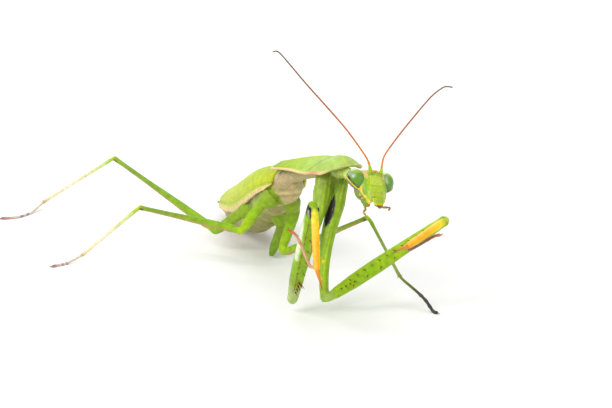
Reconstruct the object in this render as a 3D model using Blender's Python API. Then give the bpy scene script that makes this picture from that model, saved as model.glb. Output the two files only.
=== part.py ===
# Praying mantis, adult female, standing on four legs with both arms raised. Metres, +Z up.
# The head looks along -Y, the animal's left is +X, the floor is z = 0.
import bpy
import bmesh
import math
from mathutils import Vector, Matrix, Euler

for old in list(bpy.data.objects):
    bpy.data.objects.remove(old)

# ---------------------------------------------------------------- driving sizes, millimetres
MM = 0.001
GAP = 0.12                  # thin cut between two neighbours
BODY_X = 0.6                # line of the rear body
BODY_BEND = 1.3             # how far the tail end lies to the left of that line
REAR_START = 21.9           # rear body begins, measured along Y
REAR_SPLIT = 34.0           # thorax ends and abdomen begins
REAR_END = 66.4
WING_START = 24.2
WING_END = 67.0
WING_THICK = 0.5
WING_CLEAR = 0.14
WING_SIDE_DEG = 92.0        # how far the wing cases come down the sides
WING_SEAM_DEG = 5.0
PRO_FRONT = Vector((4.5, 1.25, 25.1))   # ridge of the neck shield, front end
PRO_REAR = Vector((-1.75, 23.4, 20.4))   # ridge of the neck shield, rear end
PRO_DROP = 2.0              # how far the rim hangs below the ridge at the widest place
PRO_MID_THICK = 0.9
PRO_RIM_THICK = 0.5
HEAD_AT = Vector((6.05, -3.3, 21.75))
HEAD_YAW = 16.0
HEAD_PITCH_UP = 34.0
HEAD_ROLL = 16.0
EYE_AT = Vector((2.74, 0.15, 0.75))
EYE_HALF = Vector((1.45, 1.6, 1.75))
ANTENNA_R = 0.25
FLOOR_PAD = 0.22            # height of the foot's middle line over the floor

GREEN = (0.30, 0.56, 0.06)
LEAF = (0.22, 0.45, 0.04)
YELLOW = (0.95, 0.62, 0.05)
CREAM = (0.80, 0.70, 0.40)
BROWN = (0.36, 0.26, 0.17)
DARK = (0.12, 0.09, 0.08)
EYE = (0.10, 0.42, 0.03)
ORANGE = (0.72, 0.26, 0.10)

REAR = [  # along Y: top, bottom, half width
    (21.9, 19.3, 14.0, 1.7), (23.4, 19.1, 12.9, 2.5), (26.0, 18.5, 11.6, 3.2),
    (29.8, 17.5, 9.6, 3.7), (34.0, 16.4, 6.8, 4.0), (38.3, 15.1, 4.2, 4.1),
    (43.6, 12.9, 1.9, 4.1), (51.0, 9.6, 0.8, 4.0), (58.5, 6.7, 0.6, 3.2),
    (63.0, 4.8, 0.8, 2.2), (66.4, 3.5, 1.5, 1.1)]

PRO_HALF = [(0.0, 0.6), (0.03, 1.5), (0.10, 3.0), (0.2, 4.4), (0.33, 5.1), (0.45, 4.6),
            (0.6, 3.7), (0.75, 3.0), (0.9, 2.5), (0.97, 1.9), (1.0, 1.1)]


def blend(table, t, column=1):
    """Smooth reading of a short table at t."""
    if t <= table[0][0]:
        return table[0][column]
    for low, high in zip(table, table[1:]):
        if t <= high[0]:
            k = (t - low[0]) / (high[0] - low[0])
            return low[column] + (high[column] - low[column]) * k
    return table[-1][column]


def paint(name, colour, roughness=0.45, metallic=0.0):
    mat = bpy.data.materials.new(name)
    mat.use_nodes = True
    shader = mat.node_tree.nodes["Principled BSDF"]
    shader.inputs["Base Color"].default_value = (colour[0], colour[1], colour[2], 1.0)
    shader.inputs["Roughness"].default_value = roughness
    shader.inputs["Metallic"].default_value = metallic
    mat.diffuse_color = (colour[0], colour[1], colour[2], 1.0)
    return mat


def finish(name, bm, colour, roughness=0.45):
    """Close, face outward, shade smooth and hand over one named piece."""
    bmesh.ops.recalc_face_normals(bm, faces=bm.faces[:])
    for face in bm.faces:
        face.smooth = True
    mesh = bpy.data.meshes.new(name)
    bm.to_mesh(mesh)
    bm.free()
    mesh.materials.append(paint(name, colour, roughness))
    piece = bpy.data.objects.new(name, mesh)
    bpy.context.scene.collection.objects.link(piece)
    return piece


def skin_rings(bm, rings):
    """Join rings of points into one closed tube with flat ends."""
    rows = [[bm.verts.new(p) for p in ring] for ring in rings]
    count = len(rows[0])
    for low, high in zip(rows, rows[1:]):
        for i in range(count):
            j = (i + 1) % count
            bm.faces.new((low[i], low[j], high[j], high[i]))
    bm.faces.new(list(reversed(rows[0])))
    bm.faces.new(rows[-1])
    return rows


def frame_of(axis, up):
    axis = axis.normalized()
    up = (up - axis * up.dot(axis))
    if up.length < 1e-6:
        up = Vector((1, 0, 0)) - axis * axis.x
    up.normalize()
    side = axis.cross(up)
    return side, up


def limb(name, path, sizes, up, colour, segments=10, floor=None, roughness=0.45, round_ends=True):
    """A tube along a polyline. sizes: (share of length, half side, half depth)."""
    path = [Vector(p) for p in path]
    steps = [(b - a).length for a, b in zip(path, path[1:])]
    total = sum(steps)

    def at(dist):
        rest = dist
        for i, step in enumerate(steps):
            if rest <= step or i == len(steps) - 1:
                return path[i] + (path[i + 1] - path[i]) * (rest / step)
            rest -= step

    def heading(dist):
        lo = at(max(dist - total * 0.03, 0.0))
        hi = at(min(dist + total * 0.03, total))
        return hi - lo

    marks = []
    if round_ends:
        for end in (0, 1):
            row = sizes[0] if end == 0 else sizes[-1]
            reach = min(row[1], row[2])
            for deg in (24, 56):
                away = reach * (1 - math.cos(math.radians(deg)))
                share = math.sin(math.radians(deg))
                place = away if end == 0 else total - away
                marks.append((place, row[1] * share, row[2] * share))
            marks.append((reach if end == 0 else total - reach, None, None))
    for share, a, b in sizes:
        place = share * total
        if round_ends:
            first = min(sizes[0][1], sizes[0][2])
            last = min(sizes[-1][1], sizes[-1][2])
            if place < first * 1.05 or place > total - last * 1.05:
                continue
        marks.append((place, a, b))
    marks.sort(key=lambda m: m[0])
    rings = []
    for place, a, b in marks:
        t = place / total
        if a is None:
            a = blend(sizes, t, 1)
            b = blend(sizes, t, 2)
        centre = at(place)
        side, rise = frame_of(heading(place), Vector(up))
        ring = []
        for i in range(segments):
            angle = 2 * math.pi * (i + 0.5) / segments
            p = centre + side * (a * math.cos(angle)) + rise * (b * math.sin(angle))
            if floor is not None and p.z < floor:
                p.z = floor
            ring.append(p * MM)
        rings.append(ring)
    bm = bmesh.new()
    skin_rings(bm, rings)
    return finish(name, bm, colour, roughness)


def aim(azimuth, rise):
    a = math.radians(azimuth)
    e = math.radians(rise)
    return Vector((math.cos(e) * math.cos(a), math.cos(e) * math.sin(a), math.sin(e)))


def walk(start, legs):
    """Joint places from a start and a list of (length, azimuth, rise)."""
    places = [Vector(start)]
    for length, azimuth, rise in legs:
        places.append(places[-1] + aim(azimuth, rise) * length)
    return places


def cut_back(a, b, near, far):
    """The stretch a to b shortened by near at a and by far at b."""
    d = (b - a).normalized()
    return a + d * near, b - d * far


# ---------------------------------------------------------------- rear body and wing cases
def rear_at(y):
    return blend(REAR, y, 1), blend(REAR, y, 2), blend(REAR, y, 3)


def rear_x(y):
    """Sideways place of the rear body's middle."""
    return BODY_X + BODY_BEND * max(0.0, (y - REAR_SPLIT) / (REAR_END - REAR_SPLIT)) ** 1.3


def rear_point(y, degrees, grow=0.0):
    """Point of the rear body's outline; 0 degrees is the top, positive to the left."""
    top, bottom, half = rear_at(y)
    middle = (top + bottom) / 2
    tall = (top - bottom) / 2
    a = math.radians(degrees)
    return Vector((rear_x(y) + (half + grow) * math.sin(a), y, middle + (tall + grow) * math.cos(a)))


def rear_piece(name, start, end, rows, colour, ends, segments=16):
    rings = []
    for i in range(rows + 1):
        t = i / rows
        y = start + (end - start) * t
        near = min(1.0, (y - start + 0.05) / ends[0]) if ends[0] else 1.0
        far = min(1.0, (end - y + 0.05) / ends[1]) if ends[1] else 1.0
        share = math.sqrt(max(0.0, 1 - (1 - near) ** 2)) * math.sqrt(max(0.0, 1 - (1 - far) ** 2))
        share = max(share, 0.3)
        top, bottom, half = rear_at(y)
        middle = (top + bottom) / 2
        ring = []
        for j in range(segments):
            p = rear_point(y, 360.0 * (j + 0.5) / segments)
            p.x = rear_x(y) + (p.x - rear_x(y)) * share
            p.z = middle + (p.z - middle) * share
            ring.append(p * MM)
        rings.append(ring)
    bm = bmesh.new()
    skin_rings(bm, rings)
    return finish(name, bm, colour)


rear_piece("thorax", REAR_START, REAR_SPLIT - GAP / 2, 8, LEAF, (2.4, 0.0))
rear_piece("abdomen", REAR_SPLIT + GAP / 2, REAR_END, 16, BROWN, (0.0, 2.2))


def wing_case(name, first_deg, last_deg, rows=12, columns=7):
    """One leathery fore wing folded over the back."""
    shells = []
    for grow in (WING_CLEAR, WING_CLEAR + WING_THICK):
        sheet = []
        for i in range(rows + 1):
            t = i / rows
            y = WING_START + (WING_END - WING_START) * t
            narrow = 1.0
            if t > 0.8:
                narrow = math.sqrt(max(0.0, 1 - ((t - 0.8) / 0.2) ** 2 * 0.93))
            if t < 0.06:
                narrow = 0.8 + 0.2 * t / 0.06
            row = []
            for j in range(columns + 1):
                k = j / columns
                deg = first_deg + (last_deg - first_deg) * k
                if abs(last_deg) > abs(first_deg):
                    deg = first_deg + (last_deg - first_deg) * k * narrow
                else:
                    deg = last_deg + (first_deg - last_deg) * (1 - k) * narrow
                if y <= REAR_END:
                    p = rear_point(y, deg, grow)
                else:
                    p = rear_point(REAR_END, deg, grow)
                    p.y = y
                    p.z -= (y - REAR_END) * 0.35
                row.append(p * MM)
            sheet.append(row)
        shells.append(sheet)
    bm = bmesh.new()
    made = [[[bm.verts.new(p) for p in row] for row in sheet] for sheet in shells]
    for sheet in made:
        for i in range(rows):
            for j in range(columns):
                bm.faces.new((sheet[i][j], sheet[i][j + 1], sheet[i + 1][j + 1], sheet[i + 1][j]))
    low, high = made
    for i in range(rows):
        for j in (0, columns):
            bm.faces.new((low[i][j], low[i + 1][j], high[i + 1][j], high[i][j]))
    for j in range(columns):
        for i in (0, rows):
            bm.faces.new((low[i][j], low[i][j + 1], high[i][j + 1], high[i][j]))
    return finish(name, bm, GREEN)


seam_shift = math.degrees(GAP / 4.5)
wing_case("wing_case_right", WING_SEAM_DEG, -WING_SIDE_DEG)
wing_case("wing_case_left", WING_SEAM_DEG + seam_shift, WING_SIDE_DEG)

for side, sign in (("left", 1), ("right", -1)):
    root = Vector((rear_x(REAR_END) + sign * 0.8, REAR_END + GAP, 2.2))
    limb("tail_feeler_" + side, (root, root + Vector((sign * 0.5, 2.8, -0.5))),
         ((0, 0.3, 0.3), (0.5, 0.42, 0.36), (1, 0.26, 0.26)), (0, 0, 1), LEAF, 6)

# ---------------------------------------------------------------- neck shield and front trunk
PRO_AXIS = (PRO_REAR - PRO_FRONT).normalized()
PRO_LONG = (PRO_REAR - PRO_FRONT).length
PRO_LEFT = Vector((-(-PRO_AXIS).y, (-PRO_AXIS).x, 0)).normalized()
PRO_UP = PRO_AXIS.cross(PRO_LEFT)
if PRO_UP.z < 0:
    PRO_UP = -PRO_UP


def ridge(s):
    """Height of the ridge over the straight line from front to rear."""
    return 1.25 * math.sin(math.pi * min(1.0, s * 1.05)) ** 0.8 * (1 - 0.7 * s)


def pro_point(s, u, lower=0.0):
    half = blend(PRO_HALF, s)
    drop = PRO_DROP * (half / 5.1) ** 1.15
    k = abs(u) / max(half, 0.01)
    end_drop = 0.9 * max(0.0, 1 - s / 0.07) ** 2 + 0.7 * max(0.0, (s - 0.94) / 0.06) ** 2
    thick = (PRO_MID_THICK + (PRO_RIM_THICK - PRO_MID_THICK) * min(1.0, k * 1.1)) * lower
    high = ridge(s) - drop * k ** 1.45 - end_drop - thick
    return PRO_FRONT + PRO_AXIS * (s * PRO_LONG) + PRO_LEFT * u + PRO_UP * high


def shield(rows=15, columns=10):
    bm = bmesh.new()
    made = []
    for lower in (0.0, 1.0):
        sheet = []
        for i in range(rows + 1):
            s = i / rows
            half = blend(PRO_HALF, s)
            sheet.append([bm.verts.new(pro_point(s, half * (2 * j / columns - 1), lower) * MM)
                          for j in range(columns + 1)])
        made.append(sheet)
    for sheet in made:
        for i in range(rows):
            for j in range(columns):
                bm.faces.new((sheet[i][j], sheet[i][j + 1], sheet[i + 1][j + 1], sheet[i + 1][j]))
    low, high = made
    for i in range(rows):
        for j in (0, columns):
            bm.faces.new((low[i][j], low[i + 1][j], high[i + 1][j], high[i][j]))
    for j in range(columns):
        for i in (0, rows):
            bm.faces.new((low[i][j], low[i][j + 1], high[i][j + 1], high[i][j]))
    return finish("neck_shield", bm, GREEN)


shield()


def under(s, depth):
    return PRO_FRONT + PRO_AXIS * (s * PRO_LONG) + PRO_UP * (ridge(s) - depth)


limb("front_trunk", [under(s, d) for s, d in ((0.10, 2.45), (0.3, 2.45), (0.6, 2.5), (0.93, 2.9))],
     ((0, 1.35, 0.9), (0.1, 1.75, 1.15), (0.3, 1.8, 1.2), (0.6, 1.35, 1.25), (1, 1.35, 1.35)),
     PRO_UP, LEAF, 12)

# ---------------------------------------------------------------- head
HEAD_TURN = (Euler((0, 0, math.radians(HEAD_YAW))).to_matrix()
             @ Euler((-math.radians(HEAD_PITCH_UP), 0, 0)).to_matrix()
             @ Euler((0, math.radians(HEAD_ROLL), 0)).to_matrix())


def head_point(p):
    return HEAD_AT + HEAD_TURN @ Vector(p)


def head_rings(levels, segments):
    """levels: height, half width, front, back, squareness of the back; in the head's own upright frame."""
    rings = []
    for z, half, front, back, square in levels:
        ring = []
        for i in range(segments):
            a = 2 * math.pi * (i + 0.5) / segments
            x = half * math.cos(a)
            y = math.sin(a) * front
            if y > 0:
                x = half * math.copysign(abs(math.cos(a)) ** square, math.cos(a))
                y = back * math.sin(a) ** square
            ring.append(head_point((x, y, z)) * MM)
        rings.append(ring)
    return rings


def ball(name, centre, halves, turn, colour, rings=10, segments=14, grow=0.0, roughness=0.3):
    bm = bmesh.new()
    bmesh.ops.create_uvsphere(bm, u_segments=segments, v_segments=rings, radius=1.0)
    size = Matrix.Diagonal(Vector((halves[0] + grow, halves[1] + grow, halves[2] + grow, 1.0)))
    place = Matrix.Translation(Vector(centre)) @ turn.to_4x4() @ size
    bmesh.ops.transform(bm, matrix=Matrix.Scale(MM, 4) @ place, verts=bm.verts[:])
    return finish(name, bm, colour, roughness)


bm = bmesh.new()
skin_rings(bm, head_rings((
    (2.62, 1.3, 0.55, 0.6, 1.0), (2.5, 2.2, 0.95, 1.05, 1.0), (2.1, 2.75, 1.3, 1.4, 1.0),
    (1.2, 2.95, 1.65, 1.75, 0.8), (0.2, 2.85, 1.85, 1.95, 0.6), (-0.7, 2.7, 1.95, 2.05, 0.5),
    (-1.4, 2.5, 1.95, 2.0, 0.5), (-2.0, 2.25, 1.9, 1.75, 0.55), (-2.3, 1.95, 1.75, 1.45, 0.6)), 18))
head = finish("head", bm, GREEN)
for side, sign in (("left", 1), ("right", -1)):
    at = head_point((EYE_AT.x * sign, EYE_AT.y, EYE_AT.z))
    tilt = HEAD_TURN @ Euler((0, math.radians(14 * sign), 0)).to_matrix()
    ball("eye_" + side, at, EYE_HALF, tilt, EYE)
    cutter = ball("eye_room_" + side, at, EYE_HALF, tilt, EYE, 14, 20, 0.1)
    cutter.hide_render = True
    cutter.display_type = "WIRE"
    cut = head.modifiers.new("eye " + side, "BOOLEAN")
    cut.operation = "DIFFERENCE"
    cut.solver = "EXACT"
    cut.object = cutter

limb("upper_lip", (head_point((0.1, -1.4, -2.4)), head_point((0.25, -1.45, -4.05))),
     ((0, 1.2, 0.45), (0.3, 1.25, 0.5), (0.6, 1.0, 0.45), (1, 0.5, 0.3)),
     HEAD_TURN @ Vector((0, -1, 0)), GREEN, 10)
MOUTH_FEELER = {"right": ((-1.0, 1.25, -2.65), (-0.75, 1.2, -3.7), (-1.3, 1.05, -4.4), (-0.95, 0.9, -5.0)),
                "left": ((1.1, 1.3, -2.6), (1.9, 0.6, -3.3), (3.2, 0.1, -3.4), (2.75, -0.2, -4.1))}
for side, sign in (("left", 1), ("right", -1)):
    limb("jaw_" + side, (head_point((1.35 * sign, -0.1, -2.42)), head_point((1.0 * sign, -0.3, -3.95))),
         ((0, 0.75, 0.7), (0.4, 0.75, 0.65), (1, 0.3, 0.3)), HEAD_TURN @ Vector((0, -1, 0)), LEAF, 8)
    limb("mouth_feeler_" + side, [head_point(p) for p in MOUTH_FEELER[side]],
         ((0, 0.34, 0.34), (0.3, 0.34, 0.34), (0.5, 0.26, 0.26), (1, 0.25, 0.25)),
         HEAD_TURN @ Vector((0, -1, 0)), ORANGE, 6)

neck_from, neck_to = cut_back(head_point((0.0, 2.16, 0.4)), under(0.10, 2.45), 0.0, 0.12)
limb("neck", (neck_from, neck_to), ((0, 1.0, 1.0), (0.5, 1.05, 0.95), (1, 1.2, 0.85)), PRO_UP, LEAF, 10)

ANTENNA_BASE = {"left": (0.95, -1.8, 1.45), "right": (-0.95, -1.8, 1.45)}
ANTENNA_RUN = {"right": ((2.5, 162, 75), (6.4, 162, 55), (9.6, 162, 49), (6.5, 162, 50), (1.2, 162, 8)),
               "left": ((3.2, -18, 80), (5.3, -18, 55), (6.9, -18, 51), (2.8, -18, 38), (1.4, -18, -3))}
for side in ("left", "right"):
    base = head_point(ANTENNA_BASE[side])
    limb("feeler_" + side, walk(base, ANTENNA_RUN[side]),
         ((0, 0.34, 0.34), (0.06, 0.3, 0.3), (0.12, ANTENNA_R, ANTENNA_R), (0.3, ANTENNA_R, ANTENNA_R),
          (0.55, ANTENNA_R, ANTENNA_R), (0.8, ANTENNA_R, ANTENNA_R), (0.93, ANTENNA_R, ANTENNA_R),
          (1, ANTENNA_R, ANTENNA_R)), (0.2, -1, 0), ORANGE, 6)

# ---------------------------------------------------------------- grasping fore legs
FORE = {
    "right": {"hip": (0.85, 5.6, 20.95), "bow": ((-0.1, 3.9, 17.2), (-2.1, 2.55, 13.0)),
              "thick": (1.5, 1.54, 1.28, 1.1, 1.0), "end": (-6.2, 0.7, 2.6), "knee": (-7.45, -13.3, 21.9),
              "wrist": (-7.35, -14.5, 11.8), "claw": (-6.9, -15.1, 8.3),
              "foot": ((-7.95, -13.7, 12.3), (-9.2, -13.2, 15.6), (-10.0, -12.9, 17.3), (-11.2, -13.0, 18.2))},
    "left": {"hip": (4.45, 6.5, 20.7), "bow": ((2.9, 4.55, 17.5), (0.65, 2.75, 12.0), (-0.5, 1.35, 6.8)),
             "thick": (1.2, 1.22, 1.12, 0.95, 0.78), "end": (-0.85, 0.0, 2.6), "knee": (17.25, -7.9, 15.9),
             "wrist": (8.95, -13.0, 13.7), "claw": (5.9, -14.3, 12.9),
             "foot": ((9.6, -12.1, 12.9), (12.0, -10.9, 13.4), (14.6, -9.9, 14.2), (16.0, -9.8, 14.3))},
}
for side in ("right", "left"):
    given = FORE[side]
    leg = {k: Vector(given[k]) for k in ("hip", "end", "knee", "wrist", "claw")}
    leg["foot"] = [Vector(p) for p in given["foot"]]
    bow = [Vector(p) for p in given["bow"]]
    last = leg["end"] + (leg["end"] - bow[-1]).normalized() * 0.9
    thick = given["thick"]
    limb("fore_coxa_" + side, [leg["hip"]] + bow + [last],
         ((0, thick[0] * 0.85, 1.3), (0.12, thick[0], 1.55), (0.25, thick[1], 1.5), (0.45, thick[2], 1.3),
          (0.68, thick[3], 1.1), (0.9, thick[4], 0.9), (1, thick[4] * 0.9, 0.85)), (0, -1, 0), GREEN, 12)
    along = (leg["knee"] - leg["end"]).normalized()
    fold = (leg["wrist"] - leg["knee"]).normalized()
    inner = fold - along * fold.dot(along)
    inner.normalize()
    out = (leg["end"] - leg["hip"]).normalized()
    start = leg["end"] + (along - out * along.dot(out)).normalized() * 0.97
    stop = leg["knee"] + along * 0.75
    limb("fore_femur_" + side, (start, stop),
         ((0, 0.7, 0.75), (0.06, 0.95, 1.05), (0.2, 1.2, 1.25), (0.4, 1.25, 1.25), (0.65, 1.1, 1.1),
          (0.88, 0.95, 1.0), (1, 0.75, 0.85)), inner, GREEN, 12)
    k0 = leg["knee"] + inner * 1.3
    limb("fore_tibia_" + side, (k0, leg["wrist"], leg["claw"]),
         ((0, 0.5, 0.6), (0.1, 0.62, 0.75), (0.4, 0.6, 0.75), (0.7, 0.6, 0.7), (0.8, 0.36, 0.4),
          (1, 0.25, 0.25)), inner, YELLOW, 8)
    limb("fore_tarsus_" + side, leg["foot"],
         ((0, 0.27, 0.27), (0.3, 0.26, 0.26), (0.66, 0.3, 0.3), (0.74, 0.26, 0.26), (1, 0.3, 0.3)),
         (0, 0, 1), ORANGE, 6)

# ---------------------------------------------------------------- walking legs
WALK = {
    "mid_right": {"hip": (-3.6, 26.2, 12.4), "end": (-7.2, 27.3, 7.2), "knee": (-23.6, 35.8, 10.9),
                  "ankle": (-32.3, 42.2, 1.15), "toes": ((-35.55, 41.0), (-38.4, 39.9))},
    "mid_left": {"hip": (2.75, 27.1, 10.4), "end": (0.05, 27.0, 3.0), "knee": (11.6, 13.3, 11.9),
                 "ankle": (12.85, 1.0, 4.4), "toes": ((14.7, -1.9, 2.6), (15.5, -4.1, 1.6), (16.1, -6.0), (16.4, -7.4))},
    "hind_right": {"hip": (-4.45, 36.9, 7.9), "end": (-8.0, 41.2, 3.7), "knee": (-22.0, 60.5, 14.2),
                   "ankle": (-31.0, 81.5, 1.15), "toes": ((-34.2, 77.8), (-37.4, 75.3), (-40.6, 75.5))},
    "hind_left": {"hip": (2.5, 33.6, 6.2), "end": (0.3, 33.5, 0.85), "knee": (11.4, 54.6, 7.6),
                  "ankle": (15.4, 75.6, 1.15), "toes": ((16.6, 79.8), (17.4, 84.4))},
}
for key in ("mid_right", "mid_left", "hind_right", "hind_left"):
    leg = WALK[key]
    hip, end, knee, ankle = (Vector(leg[k]) for k in ("hip", "end", "knee", "ankle"))
    thick = 1.0 if key.startswith("mid") else 1.08
    limb(key + "_coxa", (hip, end),
         ((0, 0.8, 0.8), (0.2, 1.0, 1.05), (0.7, 0.9, 0.95), (1, 0.62, 0.7)), (0, -1, 0), GREEN, 10)
    along = (knee - end).normalized()
    down = (end - hip).normalized()
    start = end + (along - down * along.dot(down)).normalized() * 0.62 + along * 0.28
    limb(key + "_femur", (start, knee),
         ((0, 0.5, 0.55), (0.06, 0.66 * thick, 0.78 * thick), (0.3, 0.62 * thick, 0.74 * thick),
          (0.65, 0.46, 0.52), (0.92, 0.42, 0.46), (1, 0.42, 0.46)), (0, 0, 1), GREEN, 8)
    shin = (ankle - knee).normalized()
    first = knee + (shin - along * shin.dot(along)).normalized() * 0.52 + along * 0.1 + shin * 0.28
    limb(key + "_tibia", (first, ankle),
         ((0, 0.34, 0.36), (0.08, 0.38, 0.4), (0.5, 0.32, 0.34), (1, 0.36, 0.38)), (0, 0, 1), GREEN, 8)
    toes = [Vector((p[0], p[1], p[2] if len(p) > 2 else FLOOR_PAD)) for p in leg["toes"]]
    turn = (toes[0] - ankle).normalized()
    begin = ankle + turn * 0.48 + shin * 0.12
    if begin.z > 1.0 and ankle.z < 2:
        begin.z = 0.95
    steps = [begin] + toes
    limb(key + "_tarsus", steps,
         ((0, 0.26, 0.26), (0.4, 0.27, 0.27), (0.47, 0.34, 0.3), (0.53, 0.27, 0.27), (0.75, 0.33, 0.3),
          (0.82, 0.27, 0.28), (0.95, 0.38, 0.32), (1, 0.34, 0.3)), (0, 0, 1), BROWN, 8, 0.0)

# ---------------------------------------------------------------- middle the model on its own box
shapes = [o for o in bpy.context.scene.objects if o.type == "MESH" and not o.hide_render]
points = [v.co for o in shapes for v in o.data.vertices]
middle = Vector(((min(p.x for p in points) + max(p.x for p in points)) / 2,
                 (min(p.y for p in points) + max(p.y for p in points)) / 2,
                 min(p.z for p in points)))
for o in bpy.context.scene.objects:
    if o.type == "MESH":
        o.data.transform(Matrix.Translation(-middle))
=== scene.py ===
# Looks of the praying mantis: one skin over trunk and legs, with a hard head, neck shield and wing
# cases, eyes, feelers, mouth parts, spines and claws. Shapes are worked in millimetres on the body's
# own line (head towards -Y, the animal's left is +X, floor z = 0) and then set into the frame.
import bpy
import bmesh
import math
import numpy as np
from mathutils import Vector, Matrix, Euler


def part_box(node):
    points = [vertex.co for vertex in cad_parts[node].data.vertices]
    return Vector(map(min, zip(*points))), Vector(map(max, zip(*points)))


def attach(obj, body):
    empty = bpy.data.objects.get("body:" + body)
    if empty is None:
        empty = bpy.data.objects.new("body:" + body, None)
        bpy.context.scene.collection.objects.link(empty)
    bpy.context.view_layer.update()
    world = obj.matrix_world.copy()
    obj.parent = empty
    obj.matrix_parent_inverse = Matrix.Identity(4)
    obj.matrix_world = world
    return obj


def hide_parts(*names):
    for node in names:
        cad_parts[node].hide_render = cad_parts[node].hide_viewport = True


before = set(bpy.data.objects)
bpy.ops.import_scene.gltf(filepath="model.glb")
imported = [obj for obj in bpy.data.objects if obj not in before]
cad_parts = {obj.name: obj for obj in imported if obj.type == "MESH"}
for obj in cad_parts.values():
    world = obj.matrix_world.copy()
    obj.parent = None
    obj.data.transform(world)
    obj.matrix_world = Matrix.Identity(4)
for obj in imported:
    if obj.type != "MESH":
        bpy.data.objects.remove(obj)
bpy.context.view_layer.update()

# ---------------------------------------------------------------- sizes, millimetres
MM = 0.001
BODY_X = 0.6                # line of the rear body
BODY_BEND = 1.3             # how far the tail end lies to the left of that line
REAR_START = 21.9
REAR_SPLIT = 34.0
REAR_END = 66.4
WING_START = 24.2
WING_END = 67.0
WING_THICK = 0.5
WING_CLEAR = 0.14           # room between wing case and body
WING_SIDE_DEG = 92.0
WING_SEAM_DEG = 5.0
SEAM_SHIFT = 1.53           # degrees between the wing cases' upper edges
PRO_FRONT = Vector((4.5, 1.25, 25.1))
PRO_REAR = Vector((-1.75, 23.4, 20.4))
PRO_DROP = 2.0
SHIELD_THICK = 0.5
HEAD_AT = Vector((6.05, -3.3, 21.75))
HEAD_YAW = 16.0
HEAD_PITCH_UP = 34.0
HEAD_ROLL = 16.0
EYE_AT = Vector((2.74, 0.15, 0.75))
EYE_HALF = Vector((1.45, 1.6, 1.75))
EYE_TILT = 14.0
DOME_HALF = EYE_HALF * 1.045
DOME_SHIFT = Vector((0.08, 0.0, 0.1))
FLOOR_PAD = 0.22
SKIN_VOXEL = 0.15
HEAD_VOXEL = 0.065
SKIN_SHARE = 0.53           # share of the skin's triangles that is kept
PRO_WIDEST = 5.1            # half width of the shield at its widest place
NOSE_END = 0.2              # the shield's round nose, as a share of its length
NOSE_HALF = 4.4
SHIELD_START = 0.06         # where the shown shield begins on that length
SHIELD_GROOVE = 0.27        # and where its cross groove lies
PLATE_FIRST = 34.6          # first belly plate begins, along Y
PLATE_LONG = 4.1
TRUNK_SEAMS = ((25.6, 0.012), (28.3, 0.03), (31.6, 0.03), (34.3, 0.0))  # along Y, and slope per degree
WING_HANG = 0.085           # how far the wing's lower edge reaches past its line, as a share
WING_HANG_AT = 42.0
WING_HANG_REACH = 11.0
RIM_FACE = Vector((0.426, -0.744, 0.515)).normalized()      # right eye: which way the bare dome looks
RIM_OFF = -1.408
GRAIN_SIZE = 0.12           # pores of the cuticle
GRAIN_DEPTH = 0.12 * 0.1
CAMERA_AT = (-123.77, -368.31, 118.85)
CAMERA_LOOK = (-4.1, 0.0, 18.7)
SENSOR_WIDE = 36.0
LENS = 143.529412

REAR = [  # along Y: top, bottom, half width
    (21.9, 19.3, 14.0, 1.7), (23.4, 19.1, 12.9, 2.5), (26.0, 18.5, 11.6, 3.2),
    (29.8, 17.5, 9.6, 3.7), (34.0, 16.4, 6.8, 4.0), (38.3, 15.1, 4.2, 4.1),
    (43.6, 12.9, 1.9, 4.1), (51.0, 9.6, 0.8, 4.0), (58.5, 6.7, 0.6, 3.2),
    (63.0, 4.8, 0.8, 2.2), (66.4, 3.5, 1.5, 1.1)]
PRO_HALF = [(0.0, 0.6), (0.03, 1.5), (0.10, 3.0), (0.2, 4.4), (0.33, 5.1), (0.45, 4.6),
            (0.6, 3.7), (0.75, 3.0), (0.9, 2.5), (0.97, 1.9), (1.0, 1.1)]
HEAD_LEVELS = [  # height, half width, front, back, squareness of the back
    (2.62, 1.3, 0.55, 0.6, 1.0), (2.5, 2.2, 0.95, 1.05, 1.0), (2.1, 2.75, 1.3, 1.4, 1.0),
    (1.2, 2.95, 1.65, 1.75, 0.8), (0.2, 2.85, 1.85, 1.95, 0.6), (-0.7, 2.7, 1.95, 2.05, 0.5),
    (-1.4, 2.5, 1.95, 2.0, 0.5), (-2.0, 2.25, 1.9, 1.75, 0.55), (-2.3, 1.95, 1.75, 1.45, 0.6)]
FORE = {
    "right": {"hip": (0.85, 5.6, 20.95), "bow": ((-0.35, 3.9, 17.2), (-2.25, 2.55, 13.0)),
              "thick": (1.6, 1.3, 1.12, 1.05, 1.0), "end": (-6.2, 0.7, 2.6), "knee": (-7.3, -13.3, 21.9),
              "wrist": (-7.0, -14.5, 11.8), "claw": (-6.5, -15.1, 8.3),
              "foot": ((-7.95, -13.7, 12.3), (-9.2, -13.2, 15.6), (-10.0, -12.9, 17.3),
                       (-11.2, -13.0, 18.2))},
    "left": {"hip": (4.45, 6.5, 20.7), "bow": ((2.85, 4.55, 17.5), (0.65, 2.75, 12.0), (-0.5, 1.35, 6.8)),
             "thick": (1.3, 1.58, 1.3, 0.98, 0.8), "end": (-0.85, 0.0, 2.6), "knee": (17.25, -7.9, 16.15),
             "wrist": (8.95, -13.0, 13.9), "claw": (5.9, -14.3, 13.0),
             "foot": ((9.6, -12.1, 12.9), (12.0, -10.9, 13.4), (14.6, -9.9, 14.2), (16.0, -9.8, 14.3))},
}
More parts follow.
